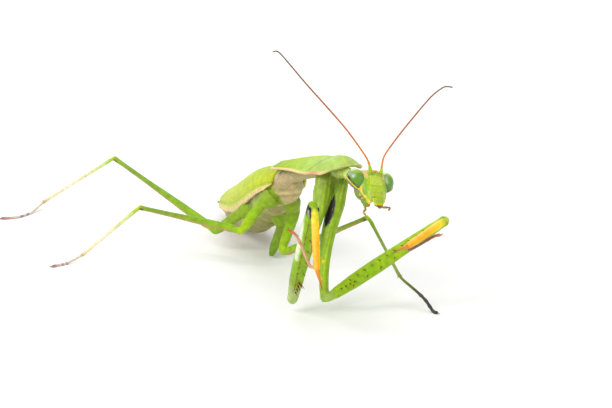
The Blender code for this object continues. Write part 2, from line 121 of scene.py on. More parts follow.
WALK = {
    "mid_right": {"hip": (-3.6, 26.2, 12.4), "end": (-7.2, 27.3, 7.2), "knee": (-23.6, 35.8, 10.9),
                  "ankle": (-32.3, 42.2, 1.15), "toes": ((-35.55, 41.0), (-38.4, 39.9))},
    "mid_left": {"hip": (2.75, 27.1, 10.4), "end": (0.05, 27.0, 3.0), "knee": (11.6, 13.3, 11.9),
                 "ankle": (12.85, 1.0, 4.4), "toes": ((14.7, -1.9, 2.6), (15.5, -4.1, 1.6), (16.1, -6.0),
                                                      (16.4, -7.4))},
    "hind_right": {"hip": (-4.45, 36.9, 7.9), "end": (-8.0, 41.2, 3.7), "knee": (-22.0, 60.5, 14.2),
                   "ankle": (-31.0, 81.5, 1.15), "toes": ((-34.2, 77.8), (-37.4, 75.3), (-40.6, 75.5))},
    "hind_left": {"hip": (2.5, 33.6, 6.2), "end": (0.3, 33.5, 0.85), "knee": (11.4, 54.6, 7.6),
                  "ankle": (15.4, 75.6, 1.15), "toes": ((16.6, 79.8), (17.4, 84.4))},
}
ANTENNA_BASE = {"left": (0.95, -1.8, 1.45), "right": (-0.95, -1.8, 1.45)}
ANTENNA_RUN = {"right": ((2.5, 162, 75), (6.4, 162, 55), (9.6, 162, 49), (6.5, 162, 50), (1.2, 162, 8)),
               "left": ((3.2, -18, 80), (5.3, -18, 55), (6.9, -18, 51), (2.8, -18, 38), (1.4, -18, -3))}
MOUTH_FEELER = {"right": ((-1.0, 1.25, -2.65), (-0.75, 1.2, -3.7), (-1.3, 1.05, -4.4), (-0.95, 0.9, -5.0)),
                "left": ((1.1, 1.3, -2.6), (1.9, 0.6, -3.3), (3.2, 0.1, -3.4), (2.75, -0.2, -4.1))}


# ---------------------------------------------------------------- colours
def tone(code):
    """Linear colour from a mixing code."""
    parts = [int(code[i:i + 2], 16) / 255 for i in (0, 2, 4)]
    return np.array([c / 12.92 if c < 0.04045 else ((c + 0.055) / 1.055) ** 2.4 for c in parts])


LEAF = tone("729A1C")
FRESH = tone("8AB40C")
OLIVE = tone("808A34")
LIME = tone("BED01C")
PALE = tone("C6DA8C")
CREAM = tone("E2CC8C")
PEACH = tone("E6A878")
ROSE = tone("D08A70")
TAN = tone("BCA67C")
AMBER = tone("FFB006")
GOLD = tone("FCCB12")
RUST = tone("B4501E")
BRICK = tone("7A2A12")
MUD = tone("7A6248")
SLATE = tone("3C3A3C")
INK = tone("0C0A14")
MAUVE = tone("8C7890")
PINK = tone("D29A84")
WHITE = np.ones(3)


def read(table, t, column=1):
    """Reading of a short table at t."""
    return float(np.interp(t, [row[0] for row in table], [row[column] for row in table]))


def ramp(t, stops):
    """Colours along t from a short list of (place, colour)."""
    places = [s[0] for s in stops]
    return np.stack([np.interp(t, places, [s[1][c] for s in stops]) for c in range(3)], axis=-1)


def mix(a, b, share):
    return a + (b - a) * np.asarray(share)[..., None]


def soft(value, low, high):
    """0 below low, 1 above high, smooth between."""
    k = np.clip((value - low) / (high - low), 0, 1)
    return k * k * (3 - 2 * k)


# ---------------------------------------------------------------- lines and limbs
def smooth_line(points, per=6, tension=0.5):
    """Rounded line through a few points."""
    points = [Vector(p) for p in points]
    if len(points) < 3:
        return points
    line = []
    for i in range(len(points) - 1):
        p0 = points[max(i - 1, 0)]
        p1, p2 = points[i], points[i + 1]
        p3 = points[min(i + 2, len(points) - 1)]
        for k in range(per):
            t = k / per
            m1 = (p2 - p0) * tension
            m2 = (p3 - p1) * tension
            line.append(p1 * (2 * t ** 3 - 3 * t ** 2 + 1) + m1 * (t ** 3 - 2 * t ** 2 + t)
                        + p2 * (-2 * t ** 3 + 3 * t ** 2) + m2 * (t ** 3 - t ** 2))
    line.append(points[-1])
    return line


class Limb:
    """A stretch with a middle line; its sizes are rows of (share along, half side, half depth)."""

    def __init__(self, points, sizes, up, painter=None, relief=None, ends=(1.0, 1.0), tension=0.35):
        self.line = smooth_line(points, 6, tension)
        steps = [(b - a).length for a, b in zip(self.line, self.line[1:])]
        self.marks = np.concatenate(([0.0], np.cumsum(steps)))
        self.total = float(self.marks[-1])
        self.sizes = sizes
        self.up = Vector(up)
        self.painter = painter
        self.relief = relief
        self.ends = ends

    def at(self, t):
        place = min(max(t, 0.0), 1.0) * self.total
        return Vector([float(np.interp(place, self.marks, [p[c] for p in self.line])) for c in range(3)])

    def axes(self, t):
        axis = (self.at(t + 0.03) - self.at(t - 0.03)).normalized()
        up = (self.up - axis * self.up.dot(axis)).normalized()
        return axis, axis.cross(up), up

    def size(self, t):
        side = read(self.sizes, t, 1)
        depth = read(self.sizes, t, 2)
        share = 1.0
        for way, place in enumerate((t, 1 - t)):
            reach = min(self.sizes[-way][1], self.sizes[-way][2]) * self.ends[way]
            if reach and place * self.total < reach:
                share *= math.sqrt(max(0.0, 1 - (1 - place * self.total / reach) ** 2))
        return side * share, depth * share

    def point(self, t, angle):
        """angle 0 is sideways, 90 degrees the up side."""
        _, side, up = self.axes(t)
        a, b = self.size(t)
        swell = 1.0 + (self.relief(t, angle) if self.relief else 0.0)
        return self.at(t) + side * (a * swell * math.cos(angle)) + up * (b * swell * math.sin(angle))

    def near(self, co):
        """For points co: share along, angle, and distance outside the limb."""
        best = np.full(len(co), 1e9)
        share = np.zeros(len(co))
        samples = 24
        spots = np.array([self.at(i / samples) for i in range(samples + 1)])
        for i in range(samples):
            a, d = spots[i], spots[i + 1] - spots[i]
            k = np.clip(((co - a) @ d) / max(d @ d, 1e-12), 0, 1)
            gap = np.linalg.norm(co - a - k[:, None] * d, axis=1)
            closer = gap < best
            best[closer] = gap[closer]
            share[closer] = ((i + k) / samples)[closer]
        spread = np.interp(share, [r[0] for r in self.sizes], [(r[1] + r[2]) / 2 for r in self.sizes])
        frames = np.array([[*side, *up] for _, side,
                           up in map(self.axes, np.arange(samples + 1) / samples)])
        row = np.clip((share * samples).round().astype(int), 0, samples)
        away = co - spots[row]
        angle = np.arctan2((away * frames[row, 3:]).sum(1), (away * frames[row, :3]).sum(1))
        return share, angle, best - spread


def wrapped(shape, rows, around, close=True):
    """A grid bent into a tube or a sheet by shape(t, k), both from 0 to 1."""
    bm = bmesh.new()
    bmesh.ops.create_grid(bm, x_segments=rows, y_segments=around, size=0.5)
    for v in bm.verts:
        v.co = shape(v.co.x + 0.5, v.co.y + 0.5)
    if close:
        bmesh.ops.remove_doubles(bm, verts=bm.verts[:], dist=1e-4)
        bmesh.ops.holes_fill(bm, edges=bm.edges[:], sides=around + 2)
    bmesh.ops.recalc_face_normals(bm, faces=bm.faces[:])
    return bm


def limb_tube(limb, row=0.22, around=24):
    rows = max(8, int(limb.total / row))
    return wrapped(lambda t, k: limb.point(t, 2 * math.pi * k), rows, around)


def egg(centre, halves, turn, rows=16, around=24):
    """A rounded body of three half sizes."""
    bm = bmesh.new()
    bmesh.ops.create_uvsphere(bm, u_segments=around, v_segments=rows, radius=1.0)
    place = Matrix.Translation(Vector(centre)) @ turn.to_4x4()
    place = place @ Matrix.Diagonal(Vector((halves[0], halves[1], halves[2], 1.0)))
    bmesh.ops.transform(bm, matrix=place, verts=bm.verts[:])
    return bm


def thorn(root, tip, thick, bend):
    """A slim cone from root to tip, a little bent to one side."""
    root, tip = Vector(root), Vector(tip)
    bm = bmesh.new()
    length = (tip - root).length
    bmesh.ops.create_cone(bm, cap_ends=True, segments=7, radius1=thick, radius2=thick * 0.06, depth=length)
    sides = [e for e in bm.edges if abs(e.verts[0].co.z - e.verts[1].co.z) > length / 2]
    bmesh.ops.subdivide_edges(bm, edges=sides, cuts=3)
    for v in bm.verts:
        k = v.co.z / length + 0.5
        v.co.x += bend * length * math.sin(math.pi * k * 0.5) ** 2 * (1 - 0.3 * k)
    axis = (tip - root).normalized()
    rise = Vector((0, 0, 1))
    x = (rise - axis * rise.dot(axis)).normalized()
    turn = Matrix((x, axis.cross(x), axis)).transposed()
    bmesh.ops.transform(bm, matrix=Matrix.Translation((root + tip) / 2) @ turn.to_4x4(), verts=bm.verts[:])
    bmesh.ops.recalc_face_normals(bm, faces=bm.faces[:])
    return bm


def together(parts):
    """Several shapes in one."""
    bm = bmesh.new()
    for part in parts:
        mesh = bpy.data.meshes.new("part")
        part.to_mesh(mesh)
        part.free()
        bm.from_mesh(mesh)
        bpy.data.meshes.remove(mesh)
    return bm


def placed(name, data):
    """A new object in the scene."""
    thing = bpy.data.objects.new(name, data)
    bpy.context.scene.collection.objects.link(thing)
    return thing


def finished(work, mesh):
    """The mesh that an object's modifiers make. The object and its first mesh go."""
    made = bpy.data.meshes.new_from_object(work.evaluated_get(bpy.context.evaluated_depsgraph_get()))
    bpy.data.objects.remove(work)
    bpy.data.meshes.remove(mesh)
    return made


def melt(bm, voxel, rounds, share=1.0):
    """Fuse overlapping closed shapes into one smooth wall. Returns a mesh, in millimetres."""
    mesh = bpy.data.meshes.new("melt")
    bm.to_mesh(mesh)
    bm.free()
    work = placed("melt", mesh)
    fuse = work.modifiers.new("fuse", "REMESH")
    fuse.mode = "VOXEL"
    fuse.voxel_size = voxel
    ease = work.modifiers.new("ease", "SMOOTH")
    ease.iterations = rounds
    ease.factor = 0.5
    if share < 1:
        thin = work.modifiers.new("thin", "DECIMATE")
        thin.ratio = share
    return finished(work, mesh)


def thicken(mesh, depth):
    """Give an open sheet a back and a rim, on the side away from its outward face."""
    work = placed("thicken", mesh)
    wall = work.modifiers.new("wall", "SOLIDIFY")
    wall.thickness = depth
    wall.offset = -1.0
    wall.use_quality_normals = True
    return finished(work, mesh)


def face_up(mesh, way):
    """Turn an open sheet so that its normals look along a direction."""
    normal = Vector((0, 0, 0))
    for poly in mesh.polygons:
        normal += poly.normal * poly.area
    if normal.dot(way) < 0:
        mesh.flip_normals()


def points_of(mesh):
    co = np.empty(len(mesh.vertices) * 3)
    mesh.vertices.foreach_get("co", co)
    return co.reshape(-1, 3)


def tint(mesh, colours):
    """Store one colour for each point of a mesh."""
    layer = mesh.attributes.new("tint", "FLOAT_COLOR", "POINT")
    rows = np.ones((len(mesh.vertices), 4))
    rows[:, :3] = np.clip(colours, 0, 1)
    layer.data.foreach_set("color", rows.ravel())


def hand_over(name, mesh, material, nodes=()):
    """Set a finished mesh into the frame, in metres, hang it on the root, and hide the parts that it takes
    the place of.
    """
    mesh.transform(Matrix.Scale(MM, 4) @ Matrix.Translation(-MIDDLE))
    mesh.name = name
    mesh.materials.clear()
    mesh.materials.append(material)
    mesh.polygons.foreach_set("use_smooth", [True] * len(mesh.polygons))
    piece = placed(name, mesh)
    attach(piece, "root")
    if nodes:
        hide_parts(*nodes)


def to_mesh(bm):
    """A mesh from a shape, which is used up."""
    mesh = bpy.data.meshes.new("piece")
    bm.to_mesh(mesh)
    bm.free()
    return mesh


def capsule(co, start, stop, wide, wide_end=None, edge=0.25):
    """How far points lie in a rounded stroke from start to stop: 1 inside, 0 outside."""
    a = np.array(start, float)
    d = np.array(stop, float) - a
    k = np.clip(((co - a) @ d) / max(d @ d, 1e-9), 0, 1)
    gap = np.linalg.norm(co - a - k[:, None] * d, axis=1)
    width = wide + ((wide if wide_end is None else wide_end) - wide) * k
    return 1 - soft(gap, width - edge / 2, width + edge / 2)


FACING = np.array((-0.299, -0.9205, 0.2503))      # the side from which the limbs' marks lie open


def laid(co, start, stop, wide, wide_end=None, edge=0.12):
    """A stroke on the open side of a limb; start and stop lie on its middle line's depth."""
    flat = co - (co @ FACING)[:, None] * FACING
    a, b = np.array(start, float), np.array(stop, float)
    deep = (co - (a + b) / 2) @ FACING
    inside = capsule(flat, a - a @ FACING * FACING, b - b @ FACING * FACING, wide, wide_end, edge)
    return inside * soft(deep, -0.35, 0.0)


# ---------------------------------------------------------------- head frame
HEAD_TURN = (Euler((0, 0, math.radians(HEAD_YAW))).to_matrix()
             @ Euler((-math.radians(HEAD_PITCH_UP), 0, 0)).to_matrix()
             @ Euler((0, math.radians(HEAD_ROLL), 0)).to_matrix())


def head_point(p):
    """A place on the head, seen on the body."""
    return HEAD_AT + HEAD_TURN @ Vector(p)


low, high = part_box("eye_right")
MIDDLE = head_point((-EYE_AT.x, EYE_AT.y, EYE_AT.z)) - (Vector(low) + Vector(high)) / 2 / MM


# ---------------------------------------------------------------- materials
def link(tree, a, a_out, b, b_in):
    tree.links.new(a.outputs[a_out], b.inputs[b_in])


def node(tree, kind, values=()):
    """A new shader node with the given sockets set."""
    made = tree.nodes.new("ShaderNode" + kind)
    for socket, value in dict(values).items():
        made.inputs[socket].default_value = value
    return made


def finish_of(name, values):
    """A new material with the given finish: the material, its nodes and its shader."""
    mat = bpy.data.materials.new(name)
    mat.use_nodes = True
    shader = mat.node_tree.nodes["Principled BSDF"]
    for socket, value in values.items():
        shader.inputs[socket].default_value = value
    return mat, mat.node_tree, shader


def stored_tint(tree):
    stored = node(tree, "Attribute")
    stored.attribute_name = "tint"
    return stored


def scaled(tree, colour, socket, share, share_socket):
    """A colour made lighter or darker by a share."""
    made = node(tree, "VectorMath")
    made.operation = "SCALE"
    link(tree, colour, socket, made, 0)
    link(tree, share, share_socket, made, "Scale")
    return made


def cuticle(name, rough=0.4, coat=0.0, mottle=0.18, mottle_size=0.9, dents=0.05, dent_size=0.35, net=None,
            gloss=0.35):
    """Insect cuticle coloured by the stored tint. Sizes are in millimetres."""
    mat, tree, shader = finish_of(name, {
        "Roughness": rough, "Coat Weight": coat, "Specular IOR Level": gloss, "Coat Roughness": 0.25,
        "Subsurface Weight": 0.06, "Subsurface Scale": 0.0006, "Subsurface Radius": (0.8, 1.0, 0.3)})
    where = node(tree, "TexCoord")
    cloud = node(tree, "TexNoise", {"Scale": 1 / (mottle_size * MM), "Detail": 4.0})
    link(tree, where, "Object", cloud, "Vector")
    spread = node(tree, "MapRange", {"From Min": 0.3, "From Max": 0.7, "To Min": 1.0 - mottle,
                                     "To Max": 1.0 + mottle})
    link(tree, cloud, "Fac", spread, "Value")
    fine = node(tree, "TexNoise", {"Scale": 1 / (GRAIN_SIZE * MM), "Detail": 3.0})
    link(tree, where, "Object", fine, "Vector")
    fleck = node(tree, "MapRange", {"From Min": 0.3, "From Max": 0.7, "To Min": 0.9, "To Max": 1.1})
    link(tree, fine, "Fac", fleck, "Value")
    both = node(tree, "Math")
    both.operation = "MULTIPLY"
    link(tree, spread, "Result", both, 0)
    link(tree, fleck, "Result", both, 1)
    shade = scaled(tree, stored_tint(tree), "Color", both, "Value")
    if net:
        stretch = node(tree, "Mapping", {"Scale": tuple(1 / (size * MM) for size in net)})
        link(tree, where, "Object", stretch, "Vector")
        cells = node(tree, "TexVoronoi", {"Scale": 1.0})
        cells.feature = "DISTANCE_TO_EDGE"
        link(tree, stretch, "Vector", cells, "Vector")
        line = node(tree, "MapRange", {"From Max": 0.09, "To Min": 0.78, "To Max": 1.0})
        link(tree, cells, "Distance", line, "Value")
        shade = scaled(tree, shade, "Vector", line, "Result")
    link(tree, shade, "Vector", shader, "Base Color")
    pits = node(tree, "TexVoronoi", {"Scale": 1 / (dent_size * MM)})
    link(tree, where, "Object", pits, "Vector")
    rise = node(tree, "Bump", {"Strength": 0.6, "Distance": dents * MM})
    link(tree, pits, "Distance", rise, "Height")
    pores = node(tree, "Bump", {"Strength": 0.5, "Distance": GRAIN_DEPTH * MM})
    link(tree, fine, "Fac", pores, "Height")
    link(tree, rise, "Normal", pores, "Normal")
    link(tree, pores, "Normal", shader, "Normal")
    return mat


SKIN = cuticle("skin cuticle", rough=0.45, gloss=0.22)
HEAD_SHELL = cuticle("head cuticle", rough=0.36, coat=0.15, mottle=0.14, mottle_size=0.35, dents=0.03,
                     dent_size=0.22)
SHIELD = cuticle("shield cuticle", rough=0.5, gloss=0.2, mottle=0.16, mottle_size=1.2, dents=0.05,
                 dent_size=0.28)
WING = cuticle("wing cuticle", rough=0.5, gloss=0.2, mottle=0.1, mottle_size=1.4, dents=0.03,
               dent_size=0.3, net=(0.55, 1.1, 0.55))
THORNS = cuticle("thorn horn", rough=0.3, coat=0.2, mottle=0.1, dents=0.0)
FEELER = cuticle("feeler cuticle", rough=0.5, mottle=0.12, dents=0.0)


# ---------------------------------------------------------------- rear body lines
def rear_at(y):
    return read(REAR, y, 1), read(REAR, y, 2), read(REAR, y, 3)


def rear_x(y):
    return BODY_X + BODY_BEND * max(0.0, (y - REAR_SPLIT) / (REAR_END - REAR_SPLIT)) ** 1.3


def rear_point(y, degrees, grow=0.0, share=1.0):
    """Point of the rear body's outline; 0 degrees is the top, positive to the left."""
    top, bottom, half = rear_at(y)
    middle, tall, a = (top + bottom) / 2, (top - bottom) / 2, math.radians(degrees)
    return Vector((rear_x(y) + (half + grow) * share * math.sin(a), y,
                   middle + (tall + grow) * share * math.cos(a)))


def rear_skin(t, k):
    """Rear body with belly plates that overlap like tiles, a side fold and the seams of the trunk."""
    y = REAR_START + (REAR_END - REAR_START) * t
    deg = 360 * k if k <= 0.5 else 360 * k - 360
    near = min(1.0, (y - REAR_START + 0.05) / 2.4)
    far = min(1.0, (REAR_END - y + 0.05) / 2.2)
    share = math.sqrt(max(0.0, 1 - (1 - near) ** 2)) * math.sqrt(max(0.0, 1 - (1 - far) ** 2))
    dip = 0.0
    low_side = min(1.0, max(0.0, (abs(deg) - 80) / 15))
    if y > PLATE_FIRST:
        u = ((y - PLATE_FIRST + 0.5 * math.cos(math.radians(deg)) ** 2) / PLATE_LONG) % 1
        dip -= 0.34 * (1 - u ** 0.7) * low_side
        dip -= 0.3 * math.exp(-((abs(deg) - 118) / 6) ** 2)
        dip -= 0.05 * (1 - low_side)
    else:
        for seam, slope in TRUNK_SEAMS:
            off = (y - seam - slope * (abs(deg) - 90)) / 0.32
            dip -= 0.24 * near * near * math.exp(-off ** 2) * min(1.0, abs(deg) / 50)
        dip -= 0.2 * near * near * math.exp(-((abs(deg) - 135) / 7) ** 2)
    return rear_point(y, deg, dip, max(share, 0.04))


def rear_near(co):
    """Share along, angle and distance outside for the rear body."""
    y = co[:, 1]
    yy = np.clip(y, REAR_START, REAR_END)
    ys = [r[0] for r in REAR]
    top, bottom, half = (np.interp(yy, ys, [r[c] for r in REAR]) for c in (1, 2, 3))
    x0 = BODY_X + BODY_BEND * np.clip((yy - REAR_SPLIT) / (REAR_END - REAR_SPLIT), 0, 1) ** 1.3
    mid, tall = (top + bottom) / 2, (top - bottom) / 2
    dx, dz = co[:, 0] - x0, co[:, 2] - mid
    unit = np.sqrt((dx / half) ** 2 + (dz / tall) ** 2)
    outside = (unit - 1) * np.minimum(half, tall) + np.abs(y - yy)
    return (yy - REAR_START) / (REAR_END - REAR_START), np.arctan2(dx, dz), outside


def paint_rear(t, a, co):
    y = co[:, 1]
    deg = np.abs(np.degrees(a))
    top = mix(ramp(t, [(0, OLIVE), (0.25, LEAF), (0.6, FRESH), (1, LEAF)]), TAN, 0.1 + 0 * t)
    side = ramp(t, [(0, mix(TAN, OLIVE, 0.35)), (0.15, mix(OLIVE, PALE, 0.2)),
                    (0.35, mix(OLIVE, PALE, 0.3)),
                    (0.6, mix(TAN, OLIVE, 0.55)), (1, mix(TAN, MUD, 0.3))])
    belly = ramp(t, [(0, mix(TAN, CREAM, 0.3)), (0.12, mix(TAN, OLIVE, 0.35)), (0.25, mix(TAN, OLIVE, 0.7)),
                     (0.5, mix(OLIVE, TAN, 0.45)), (1, mix(MUD, TAN, 0.5))])
    out = mix(top, side, soft(deg, 60, 90))
    out = mix(out, belly, soft(deg, 118, 150))
    u = ((y - PLATE_FIRST + 0.5 * np.cos(a) ** 2) / PLATE_LONG) % 1
    rows = (y > PLATE_FIRST) * soft(deg, 85, 100)
    out = mix(out, mix(MUD, OLIVE, 0.5), rows * 0.55 * (1 - soft(u, 0.02, 0.16)))
    out = mix(out, CREAM, rows * 0.3 * soft(u, 0.85, 0.98))
    for seam, slope in TRUNK_SEAMS[:3]:
        off = (y - seam - 0.45 - slope * (deg - 90)) / 0.3
        out = mix(out, CREAM, 0.4 * np.exp(-off ** 2) * soft(deg, 70, 100))
    chest = (1 - soft(y, 26.5, 29.0)) * soft(deg, 55, 80)
    level = (co[:, 2] + 0.25 * y) / 2.1 % 1
    out = mix(out, mix(MUD, OLIVE, 0.35), chest * 0.45 * (1 - soft(np.abs(level - 0.5), 0.03, 0.12)))
    pale_band = chest * 0.35 * soft(level, 0.62, 0.7) * (1 - soft(level, 0.8, 0.95))
    return mix(out, mix(CREAM, TAN, 0.3), pale_band)


# ---------------------------------------------------------------- neck shield lines
PRO_AXIS = (PRO_REAR - PRO_FRONT).normalized()
PRO_LONG = (PRO_REAR - PRO_FRONT).length
PRO_LEFT = Vector((PRO_AXIS.y, -PRO_AXIS.x, 0)).normalized()
PRO_LEFT = PRO_LEFT if PRO_LEFT.x > 0 else -PRO_LEFT
PRO_UP = PRO_AXIS.cross(PRO_LEFT)
PRO_UP = PRO_UP if PRO_UP.z > 0 else -PRO_UP


def ridge(s):
    return 1.25 * math.sin(math.pi * min(1.0, s * 1.05)) ** 0.8 * (1 - 0.7 * s)


def pro_half(s):
    """Half width of the neck shield, with a round nose."""
    if s <= 0:
        return 0.0
    if s < NOSE_END:
        return NOSE_HALF * math.sin(math.pi / 2 * s / NOSE_END)
    ahead, behind = max(NOSE_END, s - 0.03), min(1.0, s + 0.03)
    return (read(PRO_HALF, s) * 2 + read(PRO_HALF, ahead) + read(PRO_HALF, behind)) / 4


def pro_point(s, k):
    """Point of the shield's top; k runs from -1 at the right rim to 1 at the left."""
    half = pro_half(s)
    drop = PRO_DROP * (half / PRO_WIDEST) ** 1.15
    end_drop = 0.6 * max(0.0, 1 - s / 0.07) ** 2 + 0.7 * max(0.0, (s - 0.94) / 0.06) ** 2
    return (PRO_FRONT + PRO_AXIS * (s * PRO_LONG) + PRO_LEFT * (k * half)
            + PRO_UP * (ridge(s) - drop * abs(k) ** 1.45 - end_drop))


def under(s, depth):
    return PRO_FRONT + PRO_AXIS * (s * PRO_LONG) + PRO_UP * (ridge(s) - depth)


# ---------------------------------------------------------------- painters for the limbs
def plain(stops):
    return lambda t, a, co: ramp(t, stops)


PATCH_LINE = ((2.18, 4.05, 18.71), (1.90, 3.84, 17.62), (1.32, 3.60, 16.01), (0.71, 3.40, 14.56),
              (0.39, 3.28, 13.76))
PATCH_WIDE = (0.08, 0.42, 0.62, 0.5, 0.12)


def paint_fore_coxa(side):
    stops = [(0, mix(OLIVE, MUD, 0.2)), (0.1, mix(OLIVE, LEAF, 0.3)), (0.13, mix(OLIVE, LEAF, 0.6)),
             (0.22, mix(FRESH, OLIVE, 0.35)), (0.6, mix(FRESH, OLIVE, 0.15)), (1, mix(FRESH, LIME, 0.15))]

    def paint(t, a, co):
        out = ramp(t, stops)
        streak = np.sin(a * 11 + 2.2 * np.sin(t * 9)) * np.sin(t * 8 + a * 2)
        out = mix(out, LIME, 0.4 * soft(streak, 0.15, 0.8))
        out = mix(out, mix(LEAF, OLIVE, 0.5), 0.45 * soft(-streak, 0.15, 0.8))
        # Painted highlight on one side of the coxa and painted shade on the other
        out = mix(out, PALE, 0.1 * soft(np.cos(a - math.radians(35)), 0.55, 0.95))
        out = mix(out, LEAF, 0.5 * soft(np.cos(a + math.radians(60)), 0.3, 0.9))
        if side == "left":
            for start, stop, wide, end in zip(PATCH_LINE, PATCH_LINE[1:], PATCH_WIDE, PATCH_WIDE[1:]):
                out = mix(out, mix(INK, MAUVE, 0.06), laid(co, start, stop, wide, end))
            for spot in ((0.2, 1.95, 12.22), (-1.32, 0.49, 5.68), (-1.42, 0.19, 4.57), (-0.83, 0.93, 8.28)):
                out = mix(out, GOLD, capsule(co, spot, spot, 0.24, 0.24, 0.15))
        else:
            mirror = np.array([2.9, 4.2, 17.4])
            out = mix(out, INK, capsule(co, mirror + (0, 0.1, 1.4), mirror + (-1.0, -0.9, -2.4), 0.5, 0.3,
                                        0.2))
        return out
    return paint


def knee_marks_and_highlight(out, co):
    """Dark patch on the right knee with a painted lilac highlight in its middle, and a small dark spot
    beside it.
    """
    for start, stop, wide in (((-8.02, -12.52, 21.6), (-8.06, -13.0, 19.6), 0.38),
                              ((-7.63, -12.71, 21.3), (-7.72, -13.05, 19.9), 0.28)):
        out = mix(out, INK, laid(co, start, stop, wide, wide * 0.8))
    # Painted lilac highlight on the dark knee patch, between its two strips
    out = mix(out, mix(MAUVE, PALE, 0.35), 0.9 * laid(co, (-7.86, -12.7, 21.0), (-7.88, -12.96, 20.0),
                                                      0.15, 0.2))
    out = mix(out, LIME, laid(co, (-8.29, -13.06, 19.1), (-7.92, -13.19, 19.05), 0.3, 0.3, 0.2))
    return mix(out, INK, 0.9 * laid(co, (-6.27, -13.13, 21.37), (-6.23, -13.33, 20.68), 0.2, 0.14, 0.1))


def knee_plain(side, stops):
    return lambda t, a, co: knee_marks_and_highlight(ramp(t, stops), co) if side == "right" else ramp(t, stops)


def paint_fore_femur(side):
    def paint(t, a, co):
        if side == "right":
            out = ramp(t, [(0, mix(PALE, OLIVE, 0.55)), (0.1, mix(PALE, OLIVE, 0.5)),
                           (0.2, mix(FRESH, OLIVE, 0.5)), (0.3, mix(FRESH, LEAF, 0.3)), (1, FRESH)])
            out = mix(out, mix(FRESH, OLIVE, 0.3), 0.7 * soft(t, 0.93, 0.99))
            # Painted whitish sheen along the thigh's outer side
            out = mix(out, mix(PALE, WHITE, 0.35),
                      capsule(co, (-8.95, -12.5, 20.8), (-7.5, -6.5, 11.6), 0.5, 0.6, 0.4))
            out = knee_marks_and_highlight(out, co)
            out = mix(out, SLATE, 0.6 * capsule(co, (-7.05, -1.5, 4.9), (-6.6, -1.3, 5.1), 0.18, 0.1, 0.15))
        else:
            out = ramp(t, [(0, mix(FRESH, LIME, 0.3)), (0.35, FRESH), (0.8, mix(FRESH, LIME, 0.3)),
                           (1, mix(LIME, FRESH, 0.3))])
            shaded = 0.55 * soft(np.cos(a + math.radians(100)), 0.1, 0.8) * (1 - soft(t, 0.8, 0.9))
            out = mix(out, LEAF, shaded)
            # Painted pale highlight near the knee
            out = mix(out, PALE, 0.55 * soft(t, 0.86, 0.97))
            out = mix(out, RUST, 0.9 * capsule(co, (17.6, -8.9, 14.9), (17.2, -8.9, 14.7), 0.2, 0.15, 0.15))
        return out
    return paint


def paint_fore_tibia(t, a, co):
    out = ramp(t, [(0, mix(LIME, GOLD, 0.25)), (0.1, mix(LIME, GOLD, 0.5)), (0.25, GOLD), (0.5, AMBER),
                   (0.85, AMBER),
                   (1, mix(AMBER, RUST, 0.35))])
    # One side of the shin painted lighter as a highlight
    return mix(out, mix(GOLD, CREAM, 0.5), 0.45 * soft(np.cos(a - math.radians(40)), 0.6, 0.95))


WALK_GREEN = [(0, FRESH), (0.3, mix(FRESH, LEAF, 0.5)), (0.8, mix(LEAF, OLIVE, 0.3)),
              (0.97, mix(LEAF, FRESH, 0.4)), (1, LIME)]

FORE_FOOT = {
    "right": [(0, mix(PINK, TAN, 0.35)), (0.55, mix(PINK, TAN, 0.35)), (0.62, mix(PINK, RUST, 0.5)),
              (0.68, mix(PINK, TAN, 0.3)), (0.9, mix(PINK, RUST, 0.6)), (1, RUST)],
    "left": [(0, mix(MUD, RUST, 0.4)), (0.4, mix(MUD, MAUVE, 0.4)), (0.8, mix(MUD, RUST, 0.5)),
             (1, mix(TAN, RUST, 0.4))]}
LEG_ROOT = {
    "mid_left": [(0, OLIVE), (0.3, mix(LEAF, FRESH, 0.5)), (1, mix(FRESH, LIME, 0.3))],
    "hind_left": [(0, OLIVE), (0.5, mix(OLIVE, LEAF, 0.6)), (1, LEAF)],
    "mid_right": [(0, mix(FRESH, OLIVE, 0.4)), (0.5, FRESH), (1, mix(FRESH, LIME, 0.5))],
    "hind_right": [(0, mix(FRESH, OLIVE, 0.5)), (1, mix(FRESH, LEAF, 0.5))]}
DARK_SHIN = [(0, FRESH), (0.1, mix(FRESH, OLIVE, 0.4)), (0.7, mix(OLIVE, PALE, 0.3)), (1, OLIVE)]
PALE_SHIN = [(0, mix(LIME, PALE, 0.3)), (0.05, mix(PALE, FRESH, 0.3)), (0.25, mix(PALE, CREAM, 0.4)),
             (0.6, mix(CREAM, WHITE, 0.35)), (0.9, mix(CREAM, WHITE, 0.2)), (1, mix(CREAM, MUD, 0.45))]
LILAC = mix(mix(MAUVE, CREAM, 0.5), WHITE, 0.3)
DARK_TOES = [(0, OLIVE), (0.25, mix(OLIVE, SLATE, 0.5)), (0.45, mix(MUD, SLATE, 0.7)), (0.75, SLATE),
             (1, SLATE)]
PALE_TOES = [(0, mix(CREAM, MUD, 0.2)), (0.1, LILAC), (0.44, LILAC), (0.49, MAUVE), (0.55, LILAC),
             (0.64, MAUVE),
             (0.7, LILAC), (0.88, mix(MAUVE, PEACH, 0.4)), (1, mix(MAUVE, RUST, 0.3))]


def paint_walk_femur(key):
    spots = {"mid_left": ((10.3, 13.3, 11.2), (10.2, 13.2, 11.75))}.get(key)

    def paint(t, a, co):
        out = ramp(t, WALK_GREEN)
        out = mix(out, mix(RUST, TAN, 0.6), 0.75 * soft(-np.sin(a), 0.0, 0.7) * (1 - soft(t, 0.9, 0.96)))
        cuff = 0.85 * soft(t, 0.93, 0.945) * (1 - soft(t, 0.975, 0.985)) * soft(-np.sin(a), -0.5, 0.1)
        out = mix(out, mix(MUD, SLATE, 0.5), cuff)
        if spots:
            out = mix(out, SLATE, capsule(co, spots[0], spots[0], 0.28, 0.28, 0.15))
            out = mix(out, RUST, capsule(co, spots[1], spots[1], 0.2, 0.2, 0.15))
        return out
    return paint


# ---------------------------------------------------------------- limbs
SHAPES = []                 # every limb that the skin covers


def add_limb(points, sizes, up, painter, relief=None, ends=(1.0, 1.0), tension=0.35):
    limb = Limb(points, sizes, up, painter, relief, ends, tension)
    SHAPES.append(limb)
    return limb


